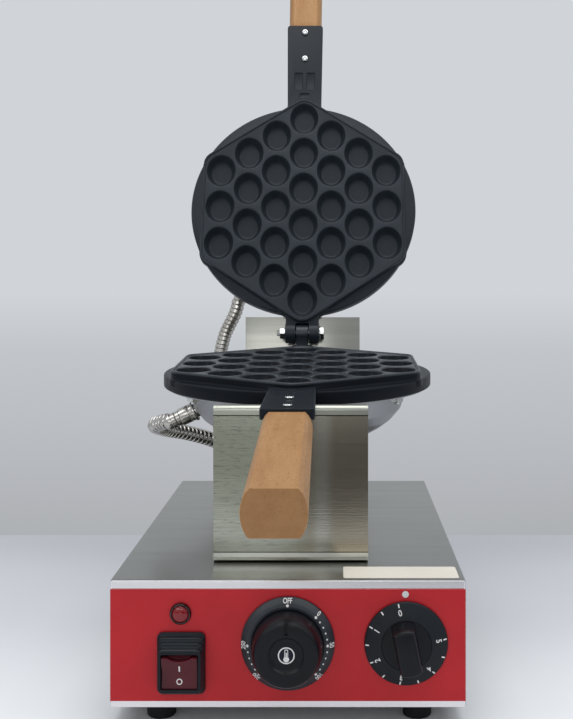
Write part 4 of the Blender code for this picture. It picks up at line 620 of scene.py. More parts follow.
def cut(base, *others):
    """A solid less other solids."""
    return solid(base, others, "DIFFERENCE")


def join(base, *others):
    """Several solids as one."""
    return solid(base, others, "UNION")


def eased(mesh, width, segments=2, angle=32):
    """Round the sharp edges of a mesh."""
    holder = holder_of(mesh)
    bevel = holder.modifiers.new("ease", "BEVEL")
    bevel.width = width
    bevel.segments = segments
    bevel.limit_method = "ANGLE"
    bevel.angle_limit = math.radians(angle)
    bevel.use_clamp_overlap = True
    return settle(holder, mesh.name)


def moved(mesh, matrix):
    """The same mesh, transformed."""
    mesh.transform(matrix)
    return mesh


def together(name, *meshes):
    """Several meshes as one, none of them cut."""
    shape = bmesh.new()
    for mesh in meshes:
        shape.from_mesh(mesh)
    return as_mesh(shape, name)


def middle_of(name):
    """A node's middle in X and Y."""
    low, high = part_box(name)
    return (low.x + high.x) / 2, (low.y + high.y) / 2


def piece(name, mesh, finish, body, stands_for=(), angle=34):
    """A finished piece: shaded, painted, riding on its body if one is given."""
    mesh.name = name
    mesh.materials.clear()
    mesh.materials.append(finish.material)
    mesh.shade_smooth()
    mesh.set_sharp_from_angle(angle=math.radians(angle))
    made = bpy.data.objects.new(name, mesh)
    bpy.context.scene.collection.objects.link(made)
    if body:
        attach(made, body)
    if stands_for:
        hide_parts(*stands_for)
    print(name, len(mesh.polygons), "faces")
    return made


# %% [markdown]
# ## Geometry Nodes for what repeats
#
# Bolts, nuts, feet, dial marks and cups are each one shape set at many places. A Geometry Nodes tree says
# that once: it takes the places as points, puts the shape on each and makes the copies real. Its sizes
# are named inputs, so the same tree serves every such piece.

# %% Trees
FLOAT = "NodeSocketFloat"
COUNT = "NodeSocketInt"
THING = "NodeSocketObject"
PAINT = "NodeSocketMaterial"


def new_tree(name, inputs):
    """An empty Geometry Nodes tree with named inputs; gives the tree and its input wires."""
    tree = bpy.data.node_groups.new(name, "GeometryNodeTree")
    tree.interface.new_socket("Geometry", in_out="INPUT", socket_type="NodeSocketGeometry")
    for label, kind in inputs.items():
        tree.interface.new_socket(label, in_out="INPUT", socket_type=kind)
    tree.interface.new_socket("Geometry", in_out="OUTPUT", socket_type="NodeSocketGeometry")
    entry = tree.nodes.new("NodeGroupInput")
    return tree, {socket.name: Wire(tree, socket) for socket in entry.outputs if socket.name}


def close_tree(tree, geometry, paint):
    """End a tree in Realize Instances and Set Material."""
    real = make(tree, "GeometryNodeRealizeInstances", None, geometry)
    painted = make(tree, "GeometryNodeSetMaterial", None, real, material=paint)
    leave = tree.nodes.new("NodeGroupOutput")
    tree.links.new(painted.socket, leave.inputs[0])


def grow(name, mesh, tree, values):
    """Run a tree on a mesh and keep the plain result."""
    holder = holder_of(mesh, name)
    modifier = holder.modifiers.new("grow", "NODES")
    modifier.node_group = tree
    for item in tree.interface.items_tree:
        if item.in_out == "INPUT" and item.name in values:
            modifier[item.identifier] = values[item.name]
    return settle(holder, name)


def point_mesh(name, points):
    """Loose points as a mesh."""
    mesh = bpy.data.meshes.new(name)
    mesh.from_pydata([tuple(point) for point in points], [], [])
    return mesh


copies_tree, wires = new_tree("copies on points", {"Shape": THING, "Paint": PAINT})
shape_wire = make(copies_tree, "GeometryNodeObjectInfo", None, wires["Shape"], out="geometry")
spread = make(
    copies_tree, "GeometryNodeInstanceOnPoints", None, points=wires["Geometry"], instance=shape_wire,
)
close_tree(copies_tree, spread, wires["Paint"])


def copies(name, shape_mesh, points, finish):
    """One shape on many points, as one mesh."""
    shape_holder = holder_of(shape_mesh, "shape")
    values = {"Shape": shape_holder, "Paint": finish.material}
    mesh = grow(name, point_mesh(name, points), copies_tree, values)
    bpy.data.objects.remove(shape_holder)
    return mesh


print("tree ready:", copies_tree.name, "with", len(copies_tree.nodes), "nodes")

# %% [markdown]
# ## Stage and light
#
# The machine stands on a plain pale floor with a grey backdrop behind it. One large plane does both: it is
# painted pale near the machine and a little darker towards the back, as painted shade where the lamps' light
# falls off, and past a seam it glows in the backdrop's greys for camera and mirrored rays. In front of the
# machine, mirrored rays see a plain room there instead, pale on the left and dark on the right, because bare
# steel shows what stands opposite it. One large lamp overhead, two at the sides and a low wide one in front
# give steel and coating their broad highlights, and the world fills the rest.

# %% Stage
SEAM_Y = 0.387
SEAM_BLUR = 0.002
CAMERA_BACK = 0.970
WALL_REACH = 1.357
WALL_STOPS = (
    (0.0, (208, 212, 216)), (0.09, (208, 212, 216)), (0.30, (194, 198, 203)),
    (0.60, (186, 189, 194)), (0.90, (177, 179, 183)), (1.0, (174, 177, 180)),
)
ROOM_Y = -0.60
ROOM_BLUR = 0.10
ROOM_RIGHT_NEARER = 0.09
ROOM_COLOURS = (160, 163, 154), (54, 50, 44)
FLOOR_CORNERS = (-14, -9, 0), (14, -9, 0), (14, 16, 0), (-14, 16, 0)

floor_paint = Finish("floor_paint", (245, 247, 250), 0.7)
floor_y = floor_paint.add("ShaderNodeSeparateXYZ", None, floor_paint.place(), out="y")
floor_x = floor_paint.add("ShaderNodeSeparateXYZ", None, floor_paint.place(), out="x")
# Painted shade: the floor is painted darker towards the back, where the lamps' light falls off.
floor_paint.paint(floor_y.smooth(-0.22, 0.16), (216, 218, 223))
floor_paint.paint(floor_y.smooth(0.10, 0.38), (197, 199, 204))
floor_paint.feed("Roughness", 0.65 + floor_paint.noise(floor_paint.place((8, 8, 8))) * 0.1)
rise = WALL_REACH / (floor_y + CAMERA_BACK)
stops = [(place, seen(*colour)) for place, colour in WALL_STOPS]
wall_colour = floor_paint.add("ShaderNodeValToRGB", {RAMP_STOPS: stops}, rise)
floor_rays = floor_paint.tree.nodes.new("ShaderNodeLightPath")
floor_seen, floor_mirrored = (
    Wire(floor_paint.tree, floor_rays.outputs[key]) for key in ("Is Camera Ray", "Is Glossy Ray")
)
seen_or_mirrored = floor_seen.math("MAXIMUM", floor_seen, floor_mirrored)
wall_share = floor_y.smooth(SEAM_Y - SEAM_BLUR, SEAM_Y + SEAM_BLUR) * seen_or_mirrored
right_side = floor_x.smooth(-0.05, 0.03)
room_y = floor_y - right_side * ROOM_RIGHT_NEARER
room_share = (1 - room_y.smooth(ROOM_Y - ROOM_BLUR, ROOM_Y)) * floor_mirrored
room_colour = floor_paint.blend(right_side, *[seen(*colour) for colour in ROOM_COLOURS])
wall_glow = floor_paint.add("ShaderNodeEmission", None, wall_colour)
room_glow = floor_paint.add("ShaderNodeEmission", None, room_colour)
floor_look = Wire(floor_paint.tree, floor_paint.shader.outputs[0])
floor_look = floor_paint.add("ShaderNodeMixShader", None, wall_share, floor_look, wall_glow)
floor_look = floor_paint.add("ShaderNodeMixShader", None, room_share, floor_look, room_glow)
floor_out = next(node for node in floor_paint.tree.nodes if node.type == "OUTPUT_MATERIAL")
floor_paint.tree.links.new(floor_look.socket, floor_out.inputs["Surface"])
floor_mesh = bpy.data.meshes.new("floor")
floor_mesh.from_pydata(FLOOR_CORNERS, [], [(0, 1, 2, 3)])
floor_mesh.materials.append(floor_paint.material)
floor = bpy.data.objects.new("floor", floor_mesh)
bpy.context.scene.collection.objects.link(floor)
print("floor turns grey at y =", SEAM_Y)

# %% World
world = bpy.data.worlds.new("studio")
world.use_nodes = True
bpy.context.scene.world = world
sky = world.node_tree
sky.nodes.clear()
path_kind = sky.nodes.new("ShaderNodeLightPath")
camera_ray, glossy_ray = (Wire(sky, path_kind.outputs[key]) for key in ("Is Camera Ray", "Is Glossy Ray"))
backdrop = make(sky, "ShaderNodeBackground", None, seen(208, 212, 216), 1.0)
ambient = make(sky, "ShaderNodeBackground", None, seen(222, 226, 232), 0.55)
seen_ray = camera_ray.math("MAXIMUM", camera_ray, glossy_ray)
sky_mix = make(sky, "ShaderNodeMixShader", None, seen_ray, ambient, backdrop)
leave = sky.nodes.new("ShaderNodeOutputWorld")
sky.links.new(sky_mix.socket, leave.inputs[0])


# %% Lamps
LAMP_TARGET = Vector((0, 0, 0.2))


def lamp(name, place, size, power):
    """A rectangular area lamp that looks at the machine."""
    data = bpy.data.lights.new(name, "AREA")
    data.shape = "RECTANGLE"
    data.size, data.size_y = size
    data.energy = power
    made = bpy.data.objects.new(name, data)
    made.location = place
    made.rotation_euler = (LAMP_TARGET - Vector(place)).to_track_quat("-Z", "Y").to_euler()
    bpy.context.scene.collection.objects.link(made)


lamp("overhead", (0.0, -0.35, 2.3), (2.0, 1.6), 25)
lamp("left_high", (-1.30, -0.60, 1.60), (0.5, 0.9), 5)
lamp("right_high", (1.30, -0.60, 1.60), (0.5, 0.9), 5)
lamp("front_fill", (-0.4, -2.2, 0.74), (1.6, 0.4), 4.5)
bpy.context.scene.view_settings.view_transform = "Standard"
print("lamps:", [light.name for light in bpy.data.lights])

# %% [markdown]
# ## The hoses
#
# A ribbed metal hose leads the heater wires of each mould into the base. Its ribs are a wound strip, and
# seen from outside they are rings at an even pitch. A Geometry Nodes tree resamples the hose's line to
# twelve points a rib and sets the radius from the length along it, so the ribs stay even round every bend.
# The line is the frame's own route: straight out of the collar, down, round, and into a gland.

# %% Hose sizes
HOSE_RADIUS = 0.0070
HOSE_VALLEY = 0.0060
RIB_PITCH = 0.0045
POINTS_A_RIB = 12
HOSE_SIDES = 28
HOSE_STRAIGHT = 0.0140
HOSE_SINK = 0.0050
COLLAR_LENGTH = 0.0175
COLLAR_DIP = math.radians(25)
COLLAR_REACH = 0.0868
COLLAR_DROP = 0.0228
DISC_CENTRE = 0.1351
DISC_BOTTOM = 0.0183
HOSES = {
    "lower": {
        "turn": 0.0,
        "gland": (-0.0350, 0.2950),
        "route": (
            (-0.1180, 0.2080, 0.1855), (-0.1290, 0.2240, 0.1800), (-0.1240, 0.2500, 0.1730),
            (-0.1060, 0.2680, 0.1670), (-0.0830, 0.2820, 0.1580), (-0.0560, 0.2915, 0.1440),
        ),
    },
    "upper": {
        "turn": math.radians(232),
        "gland": (-0.0750, 0.3150),
        "route": (
            (-0.0720, 0.3885, 0.2740), (-0.0830, 0.3870, 0.2500), (-0.0880, 0.3790, 0.2200),
            (-0.0860, 0.3600, 0.1880), (-0.0800, 0.3370, 0.1580),
        ),
    },
}


def collar_seat(side):
    """Where a hose's collar sits on its cover, Z pointing out along the hose."""
    turn = HOSES[side]["turn"]
    outward = Vector((math.cos(turn), math.sin(turn), 0))
    along = outward * math.cos(COLLAR_DIP) - Vector((0, 0, math.sin(COLLAR_DIP)))
    reach = outward * COLLAR_REACH
    point = Vector((reach.x, reach.y + DISC_CENTRE, SIDES[side]["lip"] - DISC_BOTTOM - COLLAR_DROP))
    local = Matrix.Translation(point) @ along.to_track_quat("Z", "Y").to_matrix().to_4x4()
    return SIDES[side]["frame"] @ local


def smooth_line(points, steps=24):
    """A smooth curve through points, as many short steps."""
    padded = [points[0] * 2 - points[1], *points, points[-1] * 2 - points[-2]]
    line = []
    for index in range(1, len(padded) - 2):
        before, first, last, after = padded[index - 1:index + 3]
        for step in range(steps):
            share = step / steps
            square, cube = share ** 2, share ** 3
            line.append(
                (first * 2 + (last - before) * share
                 + (before * 2 - first * 5 + last * 4 - after) * square
                 + (first * 3 - before - last * 3 + after) * cube) / 2
            )
    return [*line, points[-1]]


def hose_line(side):
    """Centre line of a hose, from inside its collar to inside the base."""
    collar = collar_seat(side)
    seat = COLLAR_LENGTH - HOSE_SINK + GAP
    x, back = HOSES[side]["gland"]
    y = BASE_FRONT + back
    middle = [Vector((across, BASE_FRONT + rear, height)) for across, rear, height in HOSES[side]["route"]]
    above = Vector((x, y, BASE_TOP + HOSE_STRAIGHT))
    curve = smooth_line([collar @ Vector((0, 0, seat + HOSE_STRAIGHT)), *middle, above])
    return [collar @ Vector((0, 0, seat)), *curve, Vector((x, y, BASE_TOP - HOSE_SINK))]


def line_length(points):
    """The length of a line of points."""
    return sum((after - before).length for before, after in zip(points, points[1:]))


print("hoses:", {side: round(line_length(hose_line(side)), 4) for side in HOSES}, "m")

# %% Hose tree
sizes = {"Pitch": FLOAT, "Radius": FLOAT, "Valley": FLOAT, "Sides": COUNT, "Paint": PAINT}
hose_tree, wires = new_tree("ribbed hose", sizes)
line = make(hose_tree, "GeometryNodeMeshToCurve", None, wires["Geometry"])
step_length = wires["Pitch"] / POINTS_A_RIB
line = make(hose_tree, "GeometryNodeResampleCurve", {"mode": "LENGTH"}, line, length=step_length)
along = make(hose_tree, "GeometryNodeSplineParameter", None, out="length")
ribs = along / wires["Pitch"]
from_crest = abs(ribs.math("FRACT", ribs) - 0.5) * 2
crest = 1 - from_crest.smooth(0.66, 0.98)
thickness = wires["Valley"] + (wires["Radius"] - wires["Valley"]) * crest
ring = make(hose_tree, "GeometryNodeCurvePrimitiveCircle", {"mode": "RADIUS"}, wires["Sides"], radius=1.0)
tube = make(
    hose_tree, "GeometryNodeCurveToMesh", None, line, ring, scale=thickness, fill_caps=True,
)
close_tree(hose_tree, tube, wires["Paint"])


def polyline(name, points):
    """A mesh of edges through points."""
    mesh = bpy.data.meshes.new(name)
    edges = [(index, index + 1) for index in range(len(points) - 1)]
    mesh.from_pydata([tuple(point) for point in points], edges, [])
    return mesh


def hose(side):
    """A ribbed hose that goes back into the object."""
    line = hose_line(side)
    name = f"{side}_ribbed_hose"
    values = {
        "Pitch": RIB_PITCH, "Radius": HOSE_RADIUS, "Valley": HOSE_VALLEY,
        "Sides": HOSE_SIDES, "Paint": hose_steel.material,
    }
    mesh = grow(name, polyline(name, line), hose_tree, values)
    shape = bmesh.new()
    shape.from_mesh(mesh)
    mesh = closed_mesh(shape, name)
    length = line_length(line)
    made = piece(name, mesh, hose_steel, None, [f"{side}_hose"], angle=50)
    return made


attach(hose("lower"), "base")
upper_line = hose_line("upper")
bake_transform(hose("upper"))

# %% [markdown]
# ## The moulds
#
# Each mould is one sand casting under a satin non-stick coat: a round flange, a hexagonal block with
# thirty tapered oval cups and a raised lip, a hollow neck for the handle, and hinge parts at the other
# end. Thirty cups are the clear case for Geometry Nodes. The tree sets one cup on each point, fills the
# flat land between the cup rims and the border, and merges the seams into one skin, where thirty Boolean
# cuts would leave broken shading round every rim.

# %% Mould sizes
LIP_LAND = 0.0009
PATTERN_CENTRE = 0.1337
CUP_COLUMNS = (3, 4, 5, 6, 5, 4, 3)
COLUMN_SPACING = 0.0287
CUP_PITCH = 0.04057
CUP_RIM = (0.0149, 0.0178)
CUP_FLOOR = (0.00965, 0.0117)
CUP_DEEP = 0.0090
CUP_FILLET = ((0.0009, 0), (0.00062, -0.00003), (0.00030, -0.00017), (0.00008, -0.00042))
CUP_ROUND_SHARE = 0.40
CUP_WALL_SHARES = (0.09, 0.18, 0.30, 0.42, 0.54, 0.65, 0.75, 0.84, 0.91, 0.965, 1.0)
CUP_FLOOR_SHARES = (0.86, 0.6, 0.3)
BLOCK_TIP = 0.1270
BLOCK_SHOULDER = 0.0560
BLOCK_HALF = 3 * COLUMN_SPACING + CUP_RIM[0] + 0.0036
BLOCK_CORNER = 0.0150
DISC_TOP = 0.0077
DISC_RADIUS = 0.1164
END_CUPS = (PATTERN_CENTRE - 2.5 * CUP_PITCH, PATTERN_CENTRE + 2.5 * CUP_PITCH)


def cup_points():
    """Cup centres in seven columns, each centred on the pattern."""
    points = []
    for column, count in enumerate(CUP_COLUMNS):
        for row in range(count):
            along = PATTERN_CENTRE + (row - (count - 1) / 2) * CUP_PITCH
            points.append(((column - 3) * COLUMN_SPACING, along, 0))
    return points


def oval(grow_by, height, size=CUP_RIM, sides=44):
    """An oval ring of points round Z."""
    turns = [2 * math.pi * side / sides for side in range(sides)]
    return [((size[0] + grow_by) * math.cos(a), (size[1] + grow_by) * math.sin(a), height) for a in turns]


def cup_mesh():
    """One cup from its rim fillet down a slightly hollow taper to a flat floor."""
    rings = [oval(grow_by, height) for grow_by, height in CUP_FILLET]
    for share in CUP_WALL_SHARES:
        bulge = CUP_ROUND_SHARE * math.sqrt(1 - share * share) + (1 - CUP_ROUND_SHARE) * (1 - share)
        size = [floor + (rim - floor) * bulge for rim, floor in zip(CUP_RIM, CUP_FLOOR)]
        rings.append(oval(0, -CUP_DEEP * share, size))
    for share in CUP_FLOOR_SHARES:
        rings.append(oval(0, -CUP_DEEP, [floor * share for floor in CUP_FLOOR]))
    shape = bmesh.new()
    loops = [[shape.verts.new(point) for point in ring] for ring in rings]
    skin_rings(shape, loops)
    middle = shape.verts.new((0, 0, -CUP_DEEP))
    for index, vertex in enumerate(loops[-1]):
        shape.faces.new((vertex, loops[-1][(index + 1) % len(loops[-1])], middle))
    return as_mesh(shape, "cup")


def arc_corners(corners, radius, steps):
    """A closed outline with each corner as an arc."""
    outline = []
    for index, corner in enumerate(corners):
        point = Vector(corner)
        back = (Vector(corners[index - 1]) - point).normalized()
        ahead = (Vector(corners[(index + 1) % len(corners)]) - point).normalized()
        half = back.angle(ahead) / 2
        centre = point + (back + ahead).normalized() * (radius / math.sin(half))
        start = point + back * (radius / math.tan(half)) - centre
        turn = math.pi - 2 * half
        sign = 1 if back.x * ahead.y - back.y * ahead.x < 0 else -1
        for step in range(steps + 1):
            angle = sign * turn * step / steps
            across = start.x * math.cos(angle) - start.y * math.sin(angle)
            along = start.x * math.sin(angle) + start.y * math.cos(angle)
            outline.append((centre.x + across, centre.y + along))
    return outline


def block_outline(inset):
    """The hexagon block's outline, drawn in by an inset."""
    half = BLOCK_HALF - inset
    slope = math.atan2(BLOCK_TIP - BLOCK_SHOULDER, BLOCK_HALF)
    tip = BLOCK_TIP - inset / math.cos(slope)
    shoulder = tip - half * math.tan(slope)
    corners = (
        (0, tip), (-half, shoulder), (-half, -shoulder), (0, -tip), (half, -shoulder), (half, shoulder),
    )
    return [(x, y + PATTERN_CENTRE) for x, y in arc_corners(corners, BLOCK_CORNER - inset, 10)]


# Inset and height of each line of the border, from the block's floor up its wall and over the lip.
BORDER = (
    (-0.0014, -0.0125), (-0.0014, -0.0077), (-0.0009, -0.0074), (-0.0004, -0.0068), (-0.0001, -0.0061),
    (0.0, -0.0050), (0.0, -0.0008), (0.00008, -0.00042), (0.00028, -0.00015), (0.0006, 0.0),
    (0.00105, 0.0), (0.00130, -0.00022), (0.00155, 0.0), (0.0019, 0.0), (0.00218, -0.00010),
    (0.00236, -0.0003), (0.00246, -0.0006), (0.00262, -0.0009),
)


def border_mesh():
    """The block's floor, wall and lip, down to the land."""
    shape = bmesh.new()
    loops = []
    for inset, height in BORDER:
        loops.append([shape.verts.new((x, y, height + LIP_LAND)) for x, y in block_outline(inset)])
    skin_rings(shape, loops)
    shape.faces.new(loops[0])
    return as_mesh(shape, "border")


def loop_mesh(name, points):
    """A closed loop of edges."""
    mesh = bpy.data.meshes.new(name)
    count = len(points)
    mesh.from_pydata(points, [(index, (index + 1) % count) for index in range(count)], [])
    return mesh


print(len(cup_points()), "cups, block half width", round(BLOCK_HALF, 4))

# %% Mould face tree
PATTERN_WELD = 0.00001
sizes = {"Cup": THING, "Rim": THING, "Border": THING, "Land": THING, "Weld": FLOAT, "Paint": PAINT}
face_tree, wires = new_tree("cup pattern", sizes)


def from_object(label):
    """The shape of an object input."""
    return make(face_tree, "GeometryNodeObjectInfo", None, wires[label], out="geometry")


def on_points(shape):
    """A shape on every cup's point, made real."""
    spread = make(
        face_tree, "GeometryNodeInstanceOnPoints", None, points=wires["Geometry"], instance=shape,
    )
    return make(face_tree, "GeometryNodeRealizeInstances", None, spread)


def gather(*parts):
    """Several geometries as one."""
    joined = make(face_tree, "GeometryNodeJoinGeometry", None, parts[0])
    for part in parts[1:]:
        face_tree.links.new(part.socket, joined.socket.node.inputs[0])
    return joined


edges = gather(on_points(from_object("Rim")), from_object("Land"))
outlines = make(face_tree, "GeometryNodeMeshToCurve", None, edges)
land = make(face_tree, "GeometryNodeFillCurve", {"mode": "TRIANGLES"}, outlines)
skin = gather(on_points(from_object("Cup")), from_object("Border"), land)
welded = make(face_tree, "GeometryNodeMergeByDistance", None, skin, distance=wires["Weld"])
close_tree(face_tree, welded, wires["Paint"])


def patterned_block():
    """The hexagon block with all its cups, as one closed skin with the lip at zero."""
    parts = {
        "Cup": cup_mesh(),
        "Rim": loop_mesh("rim", oval(*CUP_FILLET[0])),
        "Border": border_mesh(),
        "Land": loop_mesh("land", [(x, y, 0) for x, y in block_outline(BORDER[-1][0])]),
    }
    holders = {label: holder_of(mesh, label) for label, mesh in parts.items()}
    values = {**holders, "Weld": PATTERN_WELD, "Paint": nonstick_coat.material}
    mesh = grow("block", point_mesh("cups", cup_points()), face_tree, values)
    for holder in holders.values():
        bpy.data.objects.remove(holder)
    shape = bmesh.new()
    shape.from_mesh(mesh)
    mesh = closed_mesh(shape, "block")
    return moved(mesh, Matrix.Translation((0, 0, -LIP_LAND)))


block_skin = patterned_block()
open_edges = sum(1 for edge in block_skin.edges if edge.is_loose)
print("patterned block:", len(block_skin.polygons), "faces,", open_edges, "loose edges")

# %% [markdown]
# ### Flange, neck and hinge parts
#
# What a pattern maker adds round the block is built as simple solids with eased edges and joined to it by
# Booleans. Each of them keeps clear of the cups: the neck and the hinge arms grow out of the strip
# between the last cup and the block's wall, and spread a little there, as a casting does at a root.

# %% Mould parts
NECK_TOP = 0.0035
NECK_BOTTOM = 0.0116
NECK_PLATE = 0.0022
NECK_START = 0.2350
NECK_END = 0.3510
NECK_HALF = (0.0180, 0.0193)
CHANNEL_START = 0.2590
CHANNEL_WALL = 0.0020
CHANNEL_TOP_HALF = 0.0125
RECESSES = (
    (-0.0065, 0.28175, 0.0091, 0.0205), (0.0065, 0.28175, 0.0091, 0.0205), (0, 0.26415, 0.0106, 0.0057),
)
RECESS_DEEP = 0.0010
SCREW_PLACES = (0.3090, 0.3420)
ROOT_REACH = 0.0176
ROOT_CURVE = 0.0080
ROOT_TURN = math.radians(55)
ROOT_CUP = (0.0161, 0.0190)
ROOT_CUP_DEGREES = (25, 155)
CORNER_RUN = 0.02
ARM_LIFT = 0.0012
FORK_HALF = 0.0168
EAR_RADIUS = 0.0100
LUG_HALF = 0.0100
WEB = (0.0057, 0.0076, 0.020)
KNUCKLE_RADIUS = 0.0085
KNUCKLE_HALF = 0.00615
SLOT_HALF = 0.00685
SLOT_TOP = 0.0089
PIN_BORE = 0.0032
BORE_HALF = 0.03
THROUGH = 0.02


def root_outline(cup, outward, half, far, far_half, corner=0.0):
    """Plan of an arm that leaves the block at its last cup: cup centre, direction, half width, far end."""
    arc = []
    for step in range(7):
        angle = ROOT_TURN * step / 6
        x = half + ROOT_CURVE - ROOT_CURVE * math.cos(angle)
        arc.append((x, ROOT_REACH - ROOT_CURVE * math.sin(angle)))
    arc.append((arc[-1][0] - 0.0006, ROOT_CURVE))
    first, last = ROOT_CUP_DEGREES
    turns = [math.radians(first + (last - first) * step / 14) for step in range(15)]
    inner = [(ROOT_CUP[0] * math.cos(a), ROOT_CUP[1] * math.sin(a)) for a in turns]
    length = abs(far - cup)
    right = [(far_half, length), *arc]
    left = [(-x, y) for x, y in reversed(right)]
    if corner:
        near = length - CORNER_RUN
        end = soften([(-far_half, near), left[-1], right[0], (far_half, near)], corner, 5, True)
        left = [*left[:-1], *end[1:len(end) // 2]]
        right = [*end[len(end) // 2:-1], *right[1:]]
    outline = [*right, *inner, *left]
    return [(x, cup + outward * y) for x, y in outline]


def at_lip(mesh, lip):
    """A mesh whose lip was at zero, at the mould's lip."""
    return moved(mesh, Matrix.Translation((0, 0, lip)))


def flange():
    """The round flange, with a pocket that the block fills."""
    plate = rod("disc", DISC_RADIUS, -DISC_BOTTOM, -DISC_TOP, 160, 0.0016)
    plate = moved(plate, Matrix.Translation((0, DISC_CENTRE, 0)))
    pocket = slab("pocket", block_outline(0.001), -0.0120, 0.0)
    return cut(plate, pocket)


def neck():
    """The hollow neck, open to the handle, with the cast recesses in its top."""
    plan = root_outline(END_CUPS[1], 1, NECK_HALF[0], NECK_END, NECK_HALF[1], 0.0035)
    bar = eased(slab("neck", plan, -NECK_BOTTOM, -NECK_TOP), 0.0008, 3)
    roof = -NECK_TOP - NECK_PLATE
    channel = []
    for along in (CHANNEL_START, NECK_END + 0.01):
        share = (along - NECK_START) / (NECK_END - NECK_START)
        half = NECK_HALF[0] + (NECK_HALF[1] - NECK_HALF[0]) * share - CHANNEL_WALL
        channel.append([
            (-half, along, -THROUGH), (half, along, -THROUGH), (half, along, -NECK_BOTTOM),
            (CHANNEL_TOP_HALF, along, roof), (-CHANNEL_TOP_HALF, along, roof), (-half, along, -NECK_BOTTOM),
        ])
    cutters = [loft("channel", channel)]
    for across, along, width, length in RECESSES:
        low = (across - width / 2, along - length / 2, -NECK_TOP - RECESS_DEEP)
        high = (across + width / 2, along + length / 2, -NECK_TOP + 0.003)
        cutters.append(eased(block("recess", low, high), 0.0011, 3, 60))
    return cut(bar, *cutters)


def across_rod(name, radius, half, edge=0.0008):
    """A rod along X with rounded ends."""
    return moved(rod(name, radius, -half, half, 64, edge), Matrix.Rotation(math.pi / 2, 4, "Y"))


def fork(lip):
    """Two ears for the upper mould, with a slot for the knuckle."""
    half = FORK_HALF - 0.0004
    plan = root_outline(END_CUPS[0], -1, half, 0.0, half)
    arms = eased(slab("fork", plan, lip - DISC_BOTTOM + ARM_LIFT, 0.0060), 0.0010, 3)
    ears = across_rod("ears", EAR_RADIUS, FORK_HALF)
    slot_plan = (
        (-SLOT_HALF, -THROUGH), (SLOT_HALF, -THROUGH), (SLOT_HALF, SLOT_TOP), (-SLOT_HALF, SLOT_TOP),
    )
    slot = slab("slot", soften(slot_plan, 0.0022, 4), -THROUGH, THROUGH)
    return cut(join(arms, ears), slot, across_rod("bore", PIN_BORE, BORE_HALF))


def knuckle(lip):
    """The lower mould's lug, web and knuckle."""
    plan = root_outline(END_CUPS[0], -1, LUG_HALF, -0.0085, LUG_HALF, 0.0025)
    lug = eased(slab("lug", plan, lip - DISC_BOTTOM + ARM_LIFT, lip - 0.0015), 0.0010, 3)
    across, along, deep = WEB
    web = eased(block("web", (-across, -along, -deep), (across, along, 0.0)), 0.0006, 2)
    barrel = across_rod("knuckle", KNUCKLE_RADIUS, KNUCKLE_HALF, 0.0006)
    return cut(join(lug, web, barrel), across_rod("bore", PIN_BORE, BORE_HALF))


LAND_EDGE = (-0.0021, -0.0012)
NECK_SHADE = (CHANNEL_START - 0.004, CHANNEL_START + 0.014)


def mould_coat(side, low_tone_and_shade, land_gloss, low_gloss):
    """The grained coat, darker on the neck, with another colour and gloss below the land: partly the darker
    cast sides, partly painted shade in the cups and down the walls.
    """
    finish = grained(f"coat_{side}", COAT, COAT_CLOUD, 0.40, COAT_GRAIN, COAT_DEPTH)
    back = SIDES[side]["frame"].inverted()
    spot = finish.place((1, 1, 1), tuple(back.to_euler()), tuple(back.translation))
    along = finish.add("ShaderNodeSeparateXYZ", None, spot, out="y")
    height = finish.add("ShaderNodeSeparateXYZ", None, spot, out="z") - SIDES[side]["lip"]
    low = 1 - height.smooth(*LAND_EDGE)
    # Painted shade: the cups and the walls below the land are painted darker, partly the cast sides' own
    # tone.
    finish.paint(low, low_tone_and_shade)
    finish.feed("Specular IOR Level", land_gloss + low * (low_gloss - land_gloss))
    finish.paint(along.smooth(*NECK_SHADE), (26, 31, 37))
    return finish


# The lower mould's colour below the land is far darker than the upper's: painted shade in its cups and on its
# walls.
coats = {
    "lower": mould_coat("lower", (16, 20, 26), 0.55, 0.10),
    "upper": mould_coat("upper", (33, 40, 46), 0.27, 0.20),
}


def casting(side):
    """A whole mould, in its own frame, then laid on the hinge line."""
    lip = SIDES[side]["lip"]
    hinge_part = fork(lip) if side == "upper" else knuckle(lip)
    mesh = at_lip(join(block_skin.copy(), flange(), neck()), lip)
    mesh = join(mesh, hinge_part)
    mesh = moved(mesh, SIDES[side]["frame"])
    piece(
        f"{side}_mould_casting", mesh, coats[side], SIDES[side]["body"],
        [f"{side}_mould"], angle=40,
    )


for side in SIDES:
    casting(side)

# %% [markdown]
# ## Covers, collars and nuts
#
# Under each mould a spun steel bowl keeps the heater ring in. A spun bowl is a profile turned round an
# axis, so it is made just so, with a thin wall and a flat brim that lies under the flange. Four hexagon
# nuts hold it on studs, and a turned collar leads its hose away.

# %% Hexagon parts
COVER_SHEET = 0.0012
STUD_REACH = 0.1038
STUD_TURN = math.radians(36)


def hexagon(name, radius, low, high, chamfer=0.0006, bore=0.0, both=False):
    """A hexagon nut or head, its corners turned off at the top and, if asked, at the bottom."""
    turns = [math.pi / 3 * side + math.pi / 6 for side in range(6)]
    prism = slab(name, [(radius * math.cos(a), radius * math.sin(a)) for a in turns], low, high)
    lower = low + chamfer if both else low
    foot_share = 0.90 if both else 1.02
    cone = (
        (0, low), (radius * foot_share, low), (radius * 1.02, lower + 0.00001),
        (radius * 1.02, high - chamfer), (radius * 0.88, high), (0, high),
    )
    mesh = solid(prism, [turned("cone", cone, 48, 0.0001)], "INTERSECT")
    if bore:
        mesh = cut(mesh, rod("bore", bore, low - 1, high + 1, 32))
    return mesh


def stud_points(lip):
    """A cover's four studs, in the mould's frame."""
    across, along = STUD_REACH * math.cos(STUD_TURN), STUD_REACH * math.sin(STUD_TURN)
    height = lip - DISC_BOTTOM - COVER_SHEET - 2 * GAP
    return [(x, DISC_CENTRE + y, height) for x in (-across, across) for y in (-along, along)]


